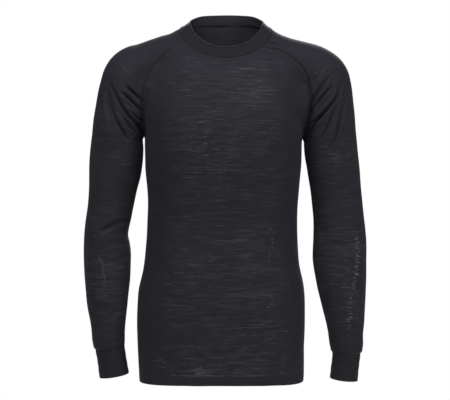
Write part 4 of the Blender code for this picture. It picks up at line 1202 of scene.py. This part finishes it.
# A painted highlight along the band's fold, and painted light over its inner face, which lies in
# shade.
FOLD_PAINTED_HIGHLIGHT, INSIDE_PAINTED_LIGHT = (0.62, 0, 1.1), 0.6
# The cuffs are paler all over, and paler still along their fold.
CUFF_PALENESS, CUFF_FOLD_PALENESS = 0.1, 0.3


def build_neck_band():
    """The neck band: a straight strip folded double and stretched a little to stand up."""
    pieces = [neck_angles("front", 60), neck_angles("left", 34), neck_angles("back", 50)[::-1],
              neck_angles("right", 34)[::-1] + 360]
    angles = np.concatenate([piece[:-1] for piece in pieces] + [pieces[0][:1] + 360])
    seam = neck_seam(angles)
    band, through = neck_mitre(angles, unit(form_slope(seam)))
    turn = np.radians(angles)[:, None]
    wave = sum(height * np.sin(turn * waves + start) for height, waves, start in NECK_WAVES)
    rise = neck_points(angles, FOLD_LINE) - seam + band * wave
    pull = humps(from_front(angles), NECK_PULL)[:, None]
    lines, ups = folded_band(seam, rise, band, through, pull)
    # The allowance strip is painted lighter, against the shadow it casts.
    seam_allowances("neck_allowance", [(seam - unit(rise) * STRIP_INSIDE, through, True)],
                    BAND_CLOTH, *STRIP_HALVES, {"paleness_and_painted_light": np.full(8 * len(seam) - 8, STRIP_PAINTED_LIGHT)})
    past = ups - np.linalg.norm(rise, axis=-1).mean()
    # Painted highlight along the fold, and painted light over the inner face past it.
    paleness_and_painted_light = np.maximum(humps(past, FOLD_PAINTED_HIGHLIGHT), INSIDE_PAINTED_LIGHT * (past > 1))
    return ring_piece("neck_band", "neckband", lines, lengths_along(seam), ups, paleness_and_painted_light)


def build_cuff(side):
    """A cuff: a strip folded double round the wrist, with slight rings where it gives. It
    runs down its outer face, over the fold by the turn's sine and cosine, and up inside."""
    depth = CUFFS[side][1]
    start = SLEEVES[side].where(CUFFS[side][0]) - depth
    even = np.linspace(0, 1, 22)
    share = np.concatenate((even, np.ones(len(FOLD_TURNS)), even[::-1]))[:, None]
    turn = np.concatenate((0 * even, FOLD_TURNS, 0 * even + np.pi))[:, None]
    angle = 2 * np.pi * round_shares(73)
    down = (SEAM_GAP / 2 + (depth - SEAM_GAP / 2 - DOUBLED / 2) * share
            + np.sin(turn) * DOUBLED / 2)
    swell = (0.3 * np.sin(np.pi * share) + humps(share * depth, (-0.4, 0, 1.0))
             + 0.18 * np.sin(2 * np.pi * share * 3.3 + 1 + angle))
    lines = SLEEVES[side].around(start + down[:, 0], angle,
                                 swell - (1 - np.cos(turn)) * DOUBLED / 2)
    ups = np.where(turn < np.pi, down, 2 * depth - down)[:, 0]
    return ring_piece(side + "_cuff", "cuff_" + side, lines, lengths_along(lines[0]), ups,
                      CUFF_PALENESS + humps(ups, (CUFF_FOLD_PALENESS, depth, 1.0)))


bands = build_neck_band(), build_cuff("right"), build_cuff("left")

# ------------------------------------------------------------------ studio
# A pale floor well below the hem, an even pale room, three large lights above in front, weaker
# ones low in front and at the sides, and one behind, as for a garment shown on its own.
scene = bpy.context.scene
FLOOR = -1.15
floor_mesh = bpy.data.meshes.new("floor")
floor_mesh.from_pydata([(-1.5, -1.5, FLOOR), (1.5, -1.5, FLOOR), (1.5, 1.5, FLOOR),
                        (-1.5, 1.5, FLOOR)], [], [(0, 1, 2, 3)])
floor = bpy.data.objects.new("floor", floor_mesh)
scene.collection.objects.link(floor)
floor_mesh.materials.append(Finish("pale floor").done({"Base Color": (0.75, 0.75, 0.76, 1),
                                                       "Roughness": 0.9}))

world = bpy.data.worlds.new("pale room")
scene.world = world
world.use_nodes = True
sky = world.node_tree
room = sky.nodes["Background"]
seen = sky.nodes.new("ShaderNodeBackground")
for light, colour, strength in ((seen, (1, 1, 1, 1), 1.0), (room, (0.97, 0.97, 1.0, 1), 0.05)):
    light.inputs["Color"].default_value = colour
    light.inputs["Strength"].default_value = strength
rays, mix = sky.nodes.new("ShaderNodeLightPath"), sky.nodes.new("ShaderNodeMixShader")
sky.links.new(rays.outputs["Is Camera Ray"], mix.inputs[0])
sky.links.new(room.outputs[0], mix.inputs[1])
sky.links.new(seen.outputs[0], mix.inputs[2])
sky.links.new(mix.outputs[0], sky.nodes["World Output"].inputs["Surface"])

# Square area lights: name, place, the point each faces, size, power, colour.
for name, place, target, size, power, colour in (
        ("key_light", (0.12, -1.4, 1.65), (0, 0, -0.25), 0.8, 13.0, (0.95, 0.96, 1.0)),
        ("left_key_light", (-1.2, -1.2, 1.6), (0, 0, -0.25), 0.8, 21.5, (0.93, 0.925, 1.0)),
        ("right_key_light", (1.2, -1.2, 1.6), (0, 0, -0.25), 0.8, 18.5, (0.98, 0.945, 1.0)),
        ("front_light", (0.3, -3.4, 0.5), (0, 0, -0.3), 1.0, 5, (0.975, 0.925, 1.0)),
        ("right_light", (2.4, -1.6, 0.3), (0, 0, -0.35), 1.2, 9.5, (1.0, 0.91, 0.97)),
        ("left_light", (-2.0, -0.4, 1.2), (0, 0, -0.25), 1.0, 2, (1, 1, 1)),
        ("back_light", (0.4, 2.6, 1.3), (0, 0, -0.3), 1.5, 110, (1, 1, 1))):
    data = bpy.data.lights.new(name, "AREA")
    data.size, data.energy, data.color = size, power, colour
    lamp = bpy.data.objects.new(name, data)
    lamp.location = place
    lamp.rotation_euler = (Vector(target) - Vector(place)).to_track_quat("-Z", "Y").to_euler()
    scene.collection.objects.link(lamp)

camera_data = bpy.data.cameras.new("camera")
camera_data.lens, camera_data.sensor_width = 92.0, 36.0
camera_data.shift_y = -0.0844
camera = bpy.data.objects.new("camera", camera_data)
camera.location = (0.002, -2.3, -0.264)
camera.rotation_euler = (np.pi / 2, 0, 0)
scene.collection.objects.link(camera)
scene.camera = camera
scene.view_settings.view_transform = "Standard"
